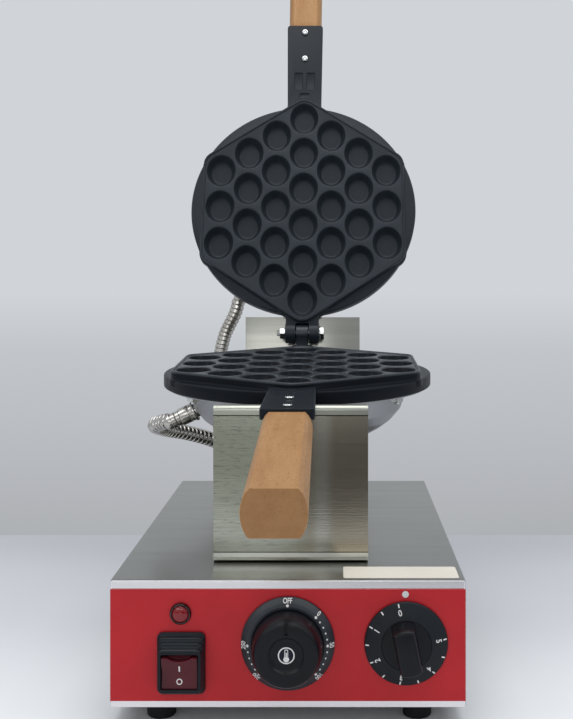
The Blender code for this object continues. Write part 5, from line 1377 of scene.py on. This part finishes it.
def nut_on_stud():
    """A hexagon nut under a washer, with its stud showing."""
    washer = rod("washer", 0.0066, -0.0007, 0, 40, 0.0002)
    nut = moved(hexagon("nut", 0.0058, 0.0, 0.0036, 0.0005), Matrix.Rotation(math.pi, 4, "X"))
    nut = moved(nut, Matrix.Translation((0, 0, -0.0005)))
    return join(nut, washer, rod("stud", 0.0022, -0.0065, 0, 32, 0.0006))


def dome(side):
    """A seamless spun bowl of thin sheet with a flat brim."""
    bowl = (
        (0.0952, 0.0), (0.0940, 0.0070), (0.0905, 0.0180), (0.0825, 0.0275),
        (0.0746, 0.0335), (0.0645, 0.0395), (0.0530, 0.0440), (0.0400, 0.0460),
    )
    outer = [(r, -COVER_SHEET - depth) for r, depth in bowl]
    inner = [(r - COVER_SHEET, -depth) for r, depth in bowl]
    profile = [
        (0, inner[-1][1]), *reversed(inner), (0.1130, 0), (0.1130, -COVER_SHEET), *outer, (0, outer[-1][1]),
    ]
    mesh = turned("dome", profile, 128, 0.0045)
    top = SIDES[side]["lip"] - DISC_BOTTOM - GAP
    return moved(mesh, SIDES[side]["frame"] @ Matrix.Translation((0, DISC_CENTRE, top)))


def collar():
    """A turned collar: a rim near the cover, a groove, and a mouth for the hose."""
    bore = HOSE_RADIUS + 0.0001
    profile = (
        (0, -0.004), (0.0062, -0.004), (0.0062, 0.0034), (0.0089, 0.0034), (0.0089, 0.0052),
        (0.0079, 0.0054), (0.0079, 0.0078), (0.0075, 0.0082), (0.0075, 0.0088), (0.0079, 0.0092),
        (0.0079, COLLAR_LENGTH), (bore, COLLAR_LENGTH), (bore, 0.0125), (0, 0.0125),
    )
    return turned("collar", profile, 56, 0.00035)


for side, facts in SIDES.items():
    body = facts["body"]
    piece(f"{side}_cover_bowl", dome(side), cover_sheet, body, [f"{side}_dome"], 50)
    nuts = copies("nuts", nut_on_stud(), stud_points(facts["lip"]), screw_steel)
    names = [name for name in nodes if name.startswith(f"{side}_cover_nut")]
    piece(f"{side}_cover_nuts", moved(nuts, facts["frame"]), screw_steel, body, names)
    seated = moved(collar(), collar_seat(side))
    piece(f"{side}_collar", seated, hose_steel, body, [f"{side}_hose_collar"])

# %% Glands
HOSE_GLAND_PROFILE = (
    (0.0073, 0.0070), (0.0082, 0.0070), (0.0094, 0.0058), (0.0100, 0.0030),
    (0.0110, 0.0026), (0.0110, GAP), (0.0073, GAP),
)
gland_points = [(x, BASE_FRONT + back, BASE_TOP) for x, back in (h["gland"] for h in HOSES.values())]
glands = copies("glands", turned("gland", HOSE_GLAND_PROFILE, 56, 0.0004), gland_points, knob_plastic)
piece("hose_glands", glands, knob_plastic, "base", ["lower_hose_gland", "upper_hose_gland"])

# %% [markdown]
# ## Handles
#
# The handles are bare beech, shaped on a spindle moulder: flat above and below, with full rounded sides,
# a little wider and deeper to the end, where the edge is only just broken. A loft over many sections
# follows that, and each section is one outline with softened corners. The tang in the hollow neck is part
# of the same wood. The grain runs along the handle, so each side has its own turned copy of the finish.

# %% Handle shape
HANDLE_LENGTH = 0.1670
HANDLE_DROOP = math.radians(4.2)
HANDLE_WIDTH, HANDLE_WIDENS = 0.0355, 0.0020
HANDLE_DEPTH, HANDLE_DEEPENS = 0.0240, 0.0045
HANDLE_EDGE = 0.0006
HANDLE_STEPS = 14
SQUARE_FALL = 300
HANDLE_SIDE_SHARES = (
    (12.9, 0.0), (13.4, 0.12), (13.8, 0.5), (15.9, 3.0), (17.4, 6.5), (18.4, 10.5), (18.7, 14.0),
    (18.5, 17.5), (17.7, 21.3), (16.2, 25.0), (14.6, 27.5), (14.25, 27.88), (13.7, 28.0),
)
WIDEST_SHARE, DEEPEST_SHARE = 18.7, 28.0
TANG_START = 0.2600
TANG_TOP_HALF = 0.0119


def handle_section(share, shrink):
    """Across and down of one section: flat above and below, barrel sides, crisp edges."""
    half = (HANDLE_WIDTH + HANDLE_WIDENS * share) / 2
    height = HANDLE_DEPTH + HANDLE_DEEPENS * share
    right = []
    for across, down in HANDLE_SIDE_SHARES:
        x, depth = across / WIDEST_SHARE * half, down / DEEPEST_SHARE * height
        right.append((x * (1 - shrink / half), depth + shrink * (1 - 2 * depth / height)))
    return [*right, *[(-x, depth) for x, depth in reversed(right)]]


def handle(lip):
    """The whole handle in the mould's frame, square where it meets the neck and drooping a little."""
    start = Vector((0, NECK_END + GAP, lip - NECK_TOP - 0.0020))
    along = Vector((0, math.cos(HANDLE_DROOP), -math.sin(HANDLE_DROOP)))
    down = Vector((0, -math.sin(HANDLE_DROOP), -math.cos(HANDLE_DROOP)))
    stations = [(0.0, 0.0006), (0.0005, 0.0001), (0.001, 0.0)]
    stations += [(HANDLE_LENGTH * step / HANDLE_STEPS, 0.0) for step in range(1, HANDLE_STEPS)]
    for step in range(4):
        turn = math.pi / 2 * step / 3
        reach = HANDLE_LENGTH - HANDLE_EDGE + HANDLE_EDGE * math.sin(turn)
        stations.append((reach, HANDLE_EDGE * (1 - math.cos(turn))))
    sections = []
    for distance, shrink in stations:
        outline = handle_section(distance / HANDLE_LENGTH, shrink)
        origin = start + along * distance
        line = down.lerp(Vector((0, 0, -1)), max(0.0, 1 - distance * SQUARE_FALL)).normalized()
        sections.append([origin + Vector((x, 0, 0)) + line * depth for x, depth in outline])
    wood = loft("handle", sections)
    top = lip - NECK_TOP - NECK_PLATE - GAP
    bottom = lip - NECK_BOTTOM + ARM_LIFT
    half = NECK_HALF[0] - 0.0038
    corners = ((-half, bottom), (half, bottom), (TANG_TOP_HALF, top), (-TANG_TOP_HALF, top))
    tang = [[(x, y, z) for x, z in corners] for y in (TANG_START, NECK_END + 0.008)]
    return join(wood, eased(loft("tang", tang), 0.0006))


woods = {
    "lower": beech("beech_lower", (LOWER_DIP, 0, 0), (0.31, 0.0, 0.12)),
    "upper": beech("beech_upper", (math.pi / 2 + OPEN_LEAN, 0, 0), (0.72, 0.2, 0.05)),
}
for side, facts in SIDES.items():
    mesh = moved(handle(facts["lip"]), facts["frame"])
    piece(f"{side}_beech_handle", mesh, woods[side], facts["body"], [f"{side}_handle"], 13)

# %% Handle screws
CROSS_SHARES = (0.60, 0.19)


def cross_screw(radius=0.0033, height=0.0017):
    """A pan head with a cross recess, on a short shank."""
    profile = (
        (0, -0.006), (0.0016, -0.006), (0.0016, 0), (radius, 0), (radius, height * 0.55),
        (radius * 0.86, height * 0.92), (radius * 0.62, height), (0, height),
    )
    arms = [
        block("arm", (-radius * a, -radius * b, height * 0.35), (radius * a, radius * b, height * 2))
        for a, b in (CROSS_SHARES, CROSS_SHARES[::-1])
    ]
    return cut(turned("screw", profile, 40, 0.0003), *arms)


for side, facts in SIDES.items():
    seat = facts["lip"] - NECK_TOP + GAP
    screws = copies("screws", cross_screw(), [(0, along, seat) for along in SCREW_PLACES], screw_steel)
    screws = moved(screws, facts["frame"])
    names = [f"{side}_handle_screw_inner", f"{side}_handle_screw_outer"]
    piece(f"{side}_handle_screws", screws, screw_steel, facts["body"], names)

# %% [markdown]
# ## Hinge pin and rear pivot
#
# A bolt with a hexagon head runs through the fork and the knuckle, and a nut with a short thread end
# closes it. Under it the lower mould's lug sits on a shaft that goes through the rear plate.

# %% Hinge
def threaded(name, radius, low, high, pitch=0.0008):
    """A rod end with rings at a thread's pitch."""
    profile = [(0, low), (radius * 0.8, low)]
    height = low + pitch / 2
    while height < high - pitch:
        profile += [(radius, height), (radius * 0.88, height + pitch / 2)]
        height += pitch
    profile += [(radius, high), (0, high)]
    return turned(name, profile, 32, 0.00002)


BOLT_RADIUS = 0.0029
pin_side = FORK_HALF + GAP
washer_side = pin_side + 0.001
hinge_turn = Matrix.Translation(hinge) @ Matrix.Rotation(math.pi / 2, 4, "Y")
head = join(
    hexagon("head", 0.0070, pin_side + 0.0008, pin_side + 0.0045, 0.0007),
    rod("washer", 0.0072, pin_side, washer_side, 40, 0.0002),
    rod("shank", BOLT_RADIUS, -0.020, washer_side, 32),
    threaded("end", BOLT_RADIUS, -pin_side - 0.0080, -0.019),
)
piece("hinge_bolt", moved(head, hinge_turn), screw_steel, "base", ["hinge_pin"])
nut = hexagon("nut", 0.0060, -pin_side - 0.0050, -pin_side, 0.0006, 0.0030, True)
piece("hinge_bolt_nut", moved(nut, hinge_turn), screw_steel, "base", ["hinge_nut"])

# %% Rear pivot
PIVOT_DROP = 0.020
PIVOT_RADIUS = 0.0050
pivot_turn = LOWER @ Matrix.Translation((0, 0, -PIVOT_DROP)) @ Matrix.Rotation(math.pi / 2, 4, "X")
pivot_end = (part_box("pivot_shaft")[1].y - hinge.y) / math.cos(LOWER_DIP)
plate_back = (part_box("pivot_nut")[0].y - hinge.y) / math.cos(LOWER_DIP)
plate_front = plate_back - 0.0022
shaft = join(
    rod("shaft", PIVOT_RADIUS, 0.0008, plate_back, 48, 0.0003),
    rod("collar", 0.0072, 0.0088, plate_front, 56, 0.0006),
    threaded("end", 0.0049, plate_back - 0.0005, pivot_end - 0.0004),
)
print("pivot from", round(plate_front, 4), "to", round(pivot_end, 4))
piece("pivot_bolt", moved(shaft, pivot_turn), screw_steel, "base", ["pivot_shaft"])
nut = hexagon("nut", 0.0090, plate_back + 0.0008, plate_back + 0.0062, 0.0009, PIVOT_RADIUS, True)
piece("pivot_bolt_nut", moved(nut, pivot_turn), screw_steel, "base", ["pivot_nut"])

# %% [markdown]
# ## The stand
#
# Both stand plates are one brushed sheet, bent at the foot, and the front one again at its top. A bend in
# sheet metal has an inner and an outer radius that differ by the sheet's thickness, so each plate is a
# side view with true bends, drawn out to its width. The foot bolts have hexagon heads on washers.

# %% Bent sheet
STAND_SHEET = 0.0014
STAND_FOOT = 0.0180
STAND_BEND = 0.0040
STAND_FLANGE = 0.0075


def bend(across, height, radius, first, last, steps=10):
    """Points of an arc round a bend's centre, in the side view."""
    turns = [first + (last - first) * step / steps for step in range(steps + 1)]
    return [(across + radius * math.cos(a), height + radius * math.sin(a)) for a in turns]


def bent_plate(name, face, inward, low, top, half, foot, outer, flange=0.0):
    """A sheet bent to a foot and, if asked, a top flange, from its side view."""
    inner = outer - STAND_SHEET
    quarter = math.pi / 2
    side = [(foot, low), *bend(outer, low + outer, outer, -quarter, -2 * quarter)]
    if flange:
        side += bend(outer, top - outer, outer, 2 * quarter, quarter)
        side += [(flange, top), (flange, top - STAND_SHEET)]
        side += bend(outer, top - outer, inner, quarter, 2 * quarter)
    else:
        side += [(0, top), (STAND_SHEET, top)]
    side += bend(outer, low + outer, inner, 2 * quarter, 3 * quarter)
    side.append((foot, low + STAND_SHEET))
    mesh = loft(name, [[(x, face + inward * y, z) for y, z in side] for x in (-half, half)])
    return eased(mesh, 0.00022, 2, 60)


front_low, front_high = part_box("stand_front_plate")
rear_low, rear_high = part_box("stand_rear_plate")
front_plate = bent_plate(
    "front", front_low.y, 1, front_low.z, front_high.z, front_high.x, STAND_FOOT, STAND_BEND, STAND_FLANGE,
)
piece("stand_plate_front", front_plate, film_steel, "base", ["stand_front_plate"], 30)
rear_plate = bent_plate(
    "rear", rear_high.y, -1, rear_low.z, rear_high.z, rear_high.x, STAND_FOOT, STAND_BEND,
)
piece("stand_plate_rear", rear_plate, plate_steel, "base", ["stand_rear_plate"], 30)

bolt = join(
    hexagon("head", 0.0046, 0.0006, 0.0034, 0.0005),
    rod("washer", 0.0052, 0, 0.0007, 36, 0.0002),
    rod("shank", 0.0019, -0.006, 0.001, 24),
)
bolt_names = [name for name in nodes if name.startswith("stand_bolt")]
bolt_seat = front_low.z + STAND_SHEET + GAP
bolts = copies("bolts", bolt, [(*middle_of(name), bolt_seat) for name in bolt_names], screw_steel)
piece("stand_bolts", bolts, screw_steel, "base", bolt_names)

# %% [markdown]
# ## The base
#
# The folded shell and its red front are right as the frame has them, so they only take finishes. The feet
# are turned rubber with a screw set deep in them. The bare label on the top is a thin sticker with rounded
# corners.

# %% Base finishes
def paint_node(name, finish):
    """Put a finish on a CAD node that stays."""
    materials = nodes[name].data.materials
    materials.clear()
    materials.append(finish.material)
    nodes[name].data.update()


for name, finish in (
    ("base_shell", sheet_steel), ("base_floor", plate_steel), ("front_panel", red_film),
    ("terminal_block", ceramic_white), ("lower_heater", heater_steel), ("upper_heater", heater_steel),
    ("thermostat_body", brass), ("timer_body", brass), ("thermostat_shaft", screw_steel),
    ("timer_shaft", screw_steel),
):
    paint_node(name, finish)

# %% Feet
foot_names = [name for name in nodes if name.startswith("foot_")]
foot_points = [(*middle_of(name), 0) for name in foot_names]
foot_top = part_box(foot_names[-1])[1].z
foot_profile = (
    (0, 0.0052), (0.0036, 0.0052), (0.0040, 0.0), (0.0092, 0.0), (0.0102, 0.0010),
    (0.0106, 0.0085), (0.0110, 0.0100), (0.0110, foot_top), (0, foot_top),
)
feet = copies("feet", turned("foot", foot_profile, 64, 0.0005), foot_points, rubber)
piece("rubber_feet", feet, rubber, "base", foot_names)
foot_screws = copies("foot_screws", turned(
    "screw", ((0, 0.0042), (0.0030, 0.0042), (0.0034, 0.0054), (0, 0.0054)), 32, 0.0003,
), foot_points, screw_steel)
piece("foot_screws", foot_screws, screw_steel, "base")

# %% Label
LABEL_X = (0.0390, 0.1208)
LABEL_Y = (-0.1765, -0.1462)
LABEL_CORNER = 0.0022
LABEL_LIFT = 0.00005
LABEL_SHEET = 0.0002
label_corners = [(LABEL_X[i], LABEL_Y[j]) for i, j in ((0, 0), (0, 1), (1, 1), (1, 0))]
label_low = BASE_TOP + LABEL_LIFT
label = slab("label", arc_corners(label_corners, LABEL_CORNER, 5), label_low, label_low + LABEL_SHEET)
piece("bare_label", label, label_paper, "base")

# %% Rear gland
GLAND_LENGTH = 0.0160
FLUTES = 12
gland_low, gland_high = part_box("rear_gland")
gland_x, gland_z = (gland_low.x + gland_high.x) / 2, (gland_low.z + gland_high.z) / 2
gland_profile = (
    (0, GLAND_LENGTH), (0.0040, GLAND_LENGTH), (0.0046, 0.0156), (0.0066, 0.0150), (0.0078, 0.0130),
    (0.0080, 0.0044), (0.0110, 0.0040), (0.0110, 0.0004), (0.0070, 0.0004), (0.0070, -0.0070), (0, -0.0070),
)
gland = turned("gland", gland_profile, 56, 0.0005)
flutes = []
for turn in range(FLUTES):
    flute = block("flute", (0.0074, -0.0006, 0.0050), (0.0090, 0.0006, 0.0125))
    flutes.append(moved(flute, Matrix.Rotation(2 * math.pi / FLUTES * turn, 4, "Z")))
gland = cut(gland, together("flutes", *flutes))
gland_turn = Matrix.Translation((gland_x, gland_high.y - GLAND_LENGTH, gland_z))
gland_turn = gland_turn @ Matrix.Rotation(-math.pi / 2, 4, "X")
piece("rear_cable_gland", moved(gland, gland_turn), knob_plastic, "base", ["rear_gland"])

# %% [markdown]
# ## Print on the dials
#
# The dots and ticks round a dial stand at an even angle, which is one more case for Geometry Nodes: the
# tree makes a row of points, turns each by its number, and lays one mark on each, tilted to the cone. The
# numbers are Blender text, made a mesh and laid on the same cone, each with its top to the outside.

# %% Marks tree
sizes = {
    "Mark": THING, "Count": COUNT, "Reach": FLOAT, "Height": FLOAT,
    "First": FLOAT, "Step": FLOAT, "Slope": FLOAT, "Paint": PAINT,
}
marks_tree, wires = new_tree("marks round a dial", sizes)
number = make(marks_tree, "GeometryNodeInputIndex")
angle = wires["First"] + wires["Step"] * number
across = angle.math("SINE", angle) * wires["Reach"]
upward = angle.math("COSINE", angle) * wires["Reach"]
spot = make(marks_tree, "ShaderNodeCombineXYZ", None, across, upward, wires["Height"])
turn = make(marks_tree, "ShaderNodeCombineXYZ", None, 0 - wires["Slope"], 0.0, 0 - angle)
row = make(marks_tree, "GeometryNodePoints", None, wires["Count"], spot)
mark = make(marks_tree, "GeometryNodeObjectInfo", None, wires["Mark"], out="geometry")
laid = make(
    marks_tree, "GeometryNodeInstanceOnPoints", None, points=row, instance=mark, rotation=turn,
)
close_tree(marks_tree, laid, wires["Paint"])


def marks(name, shape, count, reach, height, first, step, slope=0.0):
    """A row of like marks round a dial."""
    holder = holder_of(shape, "mark")
    values = {
        "Mark": holder, "Count": count, "Reach": reach, "Height": height,
        "First": math.radians(first), "Step": math.radians(step), "Slope": slope,
        "Paint": white_ink.material,
    }
    mesh = grow(name, point_mesh(name, [(0, 0, 0)]), marks_tree, values)
    bpy.data.objects.remove(holder)
    return mesh


INK = 0.00006
INK_EDGE = 0.00001


def dot(radius):
    """A printed dot."""
    return rod("dot", radius, -INK, INK, 20, INK_EDGE)


def bar(width, length):
    """A printed bar."""
    return block("bar", (-width / 2, -length / 2, -INK), (width / 2, length / 2, INK))


def lettering(text, size, matrix, narrow=1.0):
    """A word or number as a thin mesh, centred, on a frame whose Z is the surface's normal."""
    data = bpy.data.curves.new(text, "FONT")
    data.body = text
    data.size = size
    data.align_x = "CENTER"
    data.align_y = "CENTER"
    data.extrude = INK
    data.offset = 0.00010
    data.resolution_u = 4
    mesh = settle(holder_of(data, "text"), "text")
    shape = bmesh.new()
    shape.from_mesh(mesh)
    return moved(closed_mesh(shape, "text"), matrix @ Matrix.Diagonal((narrow, 1, 1, 1)))


def on_dial(angle, reach, height, slope=0.0):
    """A frame on a dial: Y to the outside, Z along the normal."""
    turn = Matrix.Rotation(-math.radians(angle), 4, "Z")
    return turn @ Matrix.Translation((0, reach, height)) @ Matrix.Rotation(-slope, 4, "X")


print("marks tree has", len(marks_tree.nodes), "nodes")

# %% [markdown]
# ### Thermostat
#
# A fixed conical ring carries the scale, and a round knob turns inside it. The knob has a turned dish in
# its front, a pointer slot above it and a small round badge at its middle. Its shoulder falls away more
# and more steeply, so that the light fades round it and doesn't end at an edge.

# %% Thermostat
DIAL_Z = 0.0590
RING_PROFILE = (
    (0.0251, 0.0070), (0.0272, 0.0071), (0.0292, 0.0060),
    (0.0310, 0.0044), (0.0324, 0.0030), (0.0328, 0.0022),
)


def along_profile(profile, reach):
    """Height and slope of a turned profile at a distance from its axis."""
    for (near, high), (far, low) in zip(profile, profile[1:]):
        if near <= reach <= far:
            slope = math.atan2(high - low, far - near)
            return high - (reach - near) * math.tan(slope) + INK * 0.8, slope
    return profile[-1][1], 0.0


thermostat_frame = on_panel(0.0, DIAL_Z)
ring = turned("ring", (*RING_PROFILE, (0.0328, 0.0003), (0.0251, 0.0003)), 160, 0.0004)
ring = moved(ring, thermostat_frame)
piece("thermostat_scale_ring", ring, dial_plastic, "base", ["thermostat_ring"])

DOT_REACH = 0.0279
DOT_STEP = 9.0
DOT_RUNS = (45, 11), (153, 1), (225, 6)
NUMBER_REACH = 0.0307
NUMBERS = (0, "OFF"), (45, "0"), (90, "50"), (135, "100"), (225, "200"), (270, "250")
dot_height, dot_slope = along_profile(RING_PROFILE, DOT_REACH)
number_height, number_slope = along_profile(RING_PROFILE, NUMBER_REACH)
print_parts = [
    marks("dots", dot(0.00062), count, DOT_REACH, dot_height, first, DOT_STEP, dot_slope)
    for first, count in DOT_RUNS
]
for angle, text in NUMBERS:
    frame_here = on_dial(angle, NUMBER_REACH, number_height, number_slope)
    print_parts.append(lettering(text, 0.0058, frame_here, 0.64))
    print_parts.append(marks("dot", dot(0.00098), 1, DOT_REACH, dot_height + INK, angle, 0, dot_slope))
scale = moved(together("scale", *print_parts), thermostat_frame)
piece("thermostat_scale", scale, white_ink, "base")

# %% Thermostat knob
KNOB_TOP = 0.0282
KNOB_FLOOR = KNOB_TOP - 0.0022
knob_profile = (
    (0, KNOB_FLOOR), (0.0096, KNOB_FLOOR), (0.0112, KNOB_FLOOR + 0.0004), (0.0122, KNOB_TOP - 0.0006),
    (0.0129, KNOB_TOP), (0.0203, KNOB_TOP), (0.0214, KNOB_TOP - 0.0004), (0.0228, 0.0252), (0.0238, 0.0214),
    (0.0242, 0.0180), (0.0247, 0.0100), (0.0248, 0.0007), (0, 0.0007),
)
knob = turned("knob", knob_profile, 160, 0.0008)
slot_plan = ((-0.00115, 0.0140), (0.00115, 0.0140), (0.00115, 0.0230), (-0.00115, 0.0230))
knob = cut(knob, slab("slot", soften(slot_plan, 0.0006, 3), KNOB_TOP - 0.0018, KNOB_TOP + 0.01))
knob = moved(knob, thermostat_frame)
piece("thermostat_grip", knob, knob_plastic, "thermostat_knob", ["thermostat_knob"], 24)

badge_top = KNOB_FLOOR + 0.0004
print_top = badge_top + INK * 2
badge = turned("badge", (
    (0, KNOB_FLOOR + 0.0001), (0.0058, KNOB_FLOOR + 0.0001), (0.0056, badge_top), (0, badge_top),
), 64, 0.0001)
piece("badge_disc", moved(badge, thermostat_frame), badge_blue, "thermostat_knob")


def inked(name, outline):
    """A flat printed shape on the badge."""
    return slab(name, outline, badge_top, print_top)


def tube_plan(half, low, high, steps=8):
    """A round-ended bar upright in a plan."""
    turns = [math.pi * step / steps for step in range(steps + 1)]
    plan = [(half * math.cos(a), high + half * math.sin(a)) for a in turns]
    return [*plan, (-half, low), (half, low)]


ring_ink = turned("rim", (
    (0.0049, badge_top), (0.0057, badge_top), (0.0057, print_top), (0.0049, print_top),
), 64, INK_EDGE)
stem = inked("stem", tube_plan(0.00125, -0.0010, 0.0030))
stem = cut(stem, slab("gap", tube_plan(0.00080, -0.0014, 0.0029), 0, 1))
mercury = inked("mercury", tube_plan(0.00042, -0.0012, 0.0016))
bulb = moved(rod("bulb", 0.00195, badge_top, print_top, 40, INK_EDGE), Matrix.Translation((0, -0.0026, 0)))
emblem = together("emblem", ring_ink, stem, mercury, bulb)
piece("badge_print", moved(emblem, thermostat_frame), white_ink, "thermostat_knob")

# %% [markdown]
# ### Timer
#
# The timer's scale turns with its knob, so the print rides on the knob's body. The grip is a bar with
# round ends that narrows to the front, and a darker disc lies round its foot.

# %% Timer
TIMER_X = 0.0828
TIMER_ZERO = -11.2
TIMER_STEP = -26.63
timer_frame = on_panel(TIMER_X, DIAL_Z)
SKIRT_PROFILE = ((0.0176, 0.0074), (0.0230, 0.0054), (0.0270, 0.0037), (0.0286, 0.0029), (0.0292, 0.0021))
skirt = turned("skirt", (
    (0, 0.0070), (0.0174, 0.0070), *SKIRT_PROFILE, (0.0293, 0.0007), (0, 0.0007),
), 160, 0.0004)
timer_turn = timer_frame @ Matrix.Rotation(-math.radians(TIMER_ZERO), 4, "Z")
skirt = moved(skirt, timer_turn)
piece("timer_skirt", skirt, skirt_plastic, "timer_knob", ["timer_knob"], 28)


def grip_ring(height, width, reach):
    """One section of the grip bar: straight sides and round ends."""
    outline = []
    for side in (1, -1):
        for step in range(-8, 9):
            angle = math.asin(min(1.0, width / 2 / reach)) * step / 8
            outline.append((reach * math.sin(angle) * side, reach * math.cos(angle) * side, height))
    return outline


hub = turned("hub", (
    (0, 0.0065), (0.0172, 0.0065), (0.0173, 0.0073), (0.0166, 0.0076), (0, 0.0076),
), 120, 0.0003)
grip_levels = (
    (0.0068, 0.0168, 0.0172), (0.0120, 0.0162, 0.0169), (0.0200, 0.0152, 0.0163), (0.0242, 0.0146, 0.0159),
    (0.0252, 0.0140, 0.0155), (0.0258, 0.0128, 0.0148), (0.0260, 0.0108, 0.0138),
)
grip = join(loft("grip", [grip_ring(*level) for level in grip_levels]), hub)
grip = eased(grip, 0.0007, 3, 48)
piece("timer_grip", moved(grip, timer_turn), knob_plastic, "timer_knob", (), 30)

# %% Timer print
TICK_REACH = 0.0273
FIGURE_REACH = 0.0226
POINTER_PLACE = (0.0824, 0.0929)
tick_height, tick_slope = along_profile(SKIRT_PROFILE, TICK_REACH)
figure_height, figure_slope = along_profile(SKIRT_PROFILE, FIGURE_REACH)
tick = bar(0.00095, 0.0027)
ticks = [marks("ticks", tick, 11, TICK_REACH, tick_height, TIMER_ZERO, TIMER_STEP, tick_slope)]
for index in range(6):
    frame_here = on_dial(TIMER_ZERO + 2 * TIMER_STEP * index, FIGURE_REACH, figure_height, figure_slope)
    ticks.append(lettering(str(index), 0.0060, frame_here, 0.86))
timer_scale = moved(together("timer_scale", *ticks), timer_frame)
piece("timer_scale", timer_scale, white_ink, "timer_knob")
pointer = moved(dot(0.00235), on_panel(*POINTER_PLACE) @ Matrix.Translation((0, 0, 0.00008)))
piece("timer_pointer_dot", pointer, white_ink, "base")

# %% [markdown]
# ### Lamp and power rocker
#
# The lamp is a low dome in a thin black ring. The rocker sits in a soft hood whose top steps back three
# times over it. The hood is lofted from rounded outlines, one pair for each step, and the rocker from its
# own side view, with a hollow under its upper edge.

# %% Lamp
LAMP_PLACE = (-0.0752, 0.0796)
lamp_frame = on_panel(*LAMP_PLACE)
bezel = turned("bezel", (
    (0.0059, 0.0010), (0.0059, 0.0026), (0.0065, 0.0030), (0.0071, 0.0026), (0.0076, 0.0012),
    (0.0076, 0.0003), (0.0059, 0.0003),
), 72, 0.0003)
piece("lamp_ring", moved(bezel, lamp_frame), gloss_black, "base", ["lamp_bezel"])
lens = turned("lens", (
    (0, 0.0038), (0.0018, 0.0037), (0.0036, 0.0034), (0.0050, 0.0029), (0.0058, 0.0022),
    (0.0058, 0.0006), (0, 0.0006),
), 72, 0.0006)
piece("lamp_dome", moved(lens, lamp_frame), lamp_red, "base", ["lamp_lens"], 60)

# %% Switch hood
SWITCH_X = -0.0745
SWITCH_Z = 0.0454
WELL_HALF = (0.0128, 0.0121)
ROCKER_ENDS = (0.0102, -0.0160)
switch_frame = on_panel(SWITCH_X, SWITCH_Z)


def hood_ring(width, top, bottom, depth, corner=0.0040):
    """One outline of the hood: its width, its reach up and down, and its distance from the panel."""
    half = width / 2
    corners = ((-half, -bottom), (-half, top), (half, top), (half, -bottom))
    return [(x, y, depth) for x, y in arc_corners(corners, corner, 6)]


hood_levels = [
    (0.0336, 0.02145, 0.02145, 0.0003), (0.0338, 0.02145, 0.02145, 0.0012),
    (0.0338, 0.02140, 0.02145, 0.0024), (0.0332, 0.0208, 0.0210, 0.0030),
    (0.0326, 0.0192, 0.0204, 0.0034), (0.0325, 0.0189, 0.0203, 0.0056), (0.0322, 0.0185, 0.0201, 0.0061),
    (0.0316, 0.0163, 0.0193, 0.0065), (0.0315, 0.0160, 0.0192, 0.0088), (0.0312, 0.0156, 0.0190, 0.0093),
    (0.0306, 0.0132, 0.0181, 0.0097), (0.0304, 0.0128, 0.0179, 0.0118), (0.0298, 0.0120, 0.0173, 0.0127),
    (0.0288, 0.0110, 0.0163, 0.0130),
]
hood = loft("hood", [hood_ring(*level) for level in hood_levels])
rocker_middle = sum(ROCKER_ENDS) / 2
well_half, well_reach = WELL_HALF
well = eased(block(
    "well", (-well_half, rocker_middle - well_reach, 0.0010), (well_half, rocker_middle + well_reach, 0.0200),
), 0.0010, 3, 60)
hood = cut(hood, well)
hood = eased(hood, 0.00035, 2, 50)
piece("switch_hood", moved(hood, switch_frame), hood_plastic, "base", ["switch_housing"], 30)

# %% Rocker
ROCKER_HALF = 0.0112
ROCKER_SIDE = 0.0123
ROCKER_LEAN = math.radians(8)
rocker_joint = next(j for j in frame["joints"] if j["name"] == "power_rocker_tip")
rocker_frame = Matrix.Translation(rocker_joint["pos_m"]) @ Matrix.Rotation(math.pi / 2, 4, "X")
rocker_frame = rocker_frame @ Matrix.Rotation(ROCKER_LEAN, 4, "X")


def rocker_height(y):
    """Height of the rocker's front over its axis."""
    dip = 0.0006 * math.cos(y / ROCKER_HALF * math.pi / 2) ** 2
    return 0.0050 + 0.9 * abs(y) * math.tan(ROCKER_LEAN) - dip


front_line = [(y, rocker_height(y)) for y in [ROCKER_HALF * (step / 8 - 1) for step in range(17)]]
side_view = [*front_line, (ROCKER_HALF, 0.0), (0.0040, -0.0040), (-0.0040, -0.0040), (-ROCKER_HALF, 0.0)]
paddle = loft("rocker", [[(x, y, z) for y, z in side_view] for x in (-ROCKER_SIDE, ROCKER_SIDE)])
scoop = turned("scoop", ((0, 0.0), (0.0150, 0.0), (0.0135, 0.0060), (0, 0.0060)), 64, 0.001)
scoop = moved(scoop, Matrix.Rotation(math.radians(14), 4, "X"))
scoop = moved(scoop, Matrix.Translation((0, ROCKER_HALF + 0.0119, 0.0046)))
paddle = moved(eased(cut(paddle, scoop), 0.0006, 3, 48), rocker_frame)
piece("rocker_paddle", paddle, rocker_red, "power_rocker", ["switch_rocker"], 30)


def rocker_face(y, near=0.001):
    """A frame on the rocker's front, its Z along the surface's normal."""
    tilt = math.atan((rocker_height(y + near) - rocker_height(y - near)) / (2 * near))
    return Matrix.Translation((0, y, rocker_height(y) + INK * 2.5)) @ Matrix.Rotation(tilt, 4, "X")


stroke = moved(bar(0.0010, 0.0044), rocker_face(0.0030))
loop_mark = turned("loop", ((0.0014, -INK), (0.0021, -INK), (0.0021, INK), (0.0014, INK)), 40, INK_EDGE)
loop_mark = moved(loop_mark, rocker_face(-0.0060))
piece("rocker_print", moved(together("print", stroke, loop_mark), rocker_frame), white_ink, "power_rocker")

# %% [markdown]
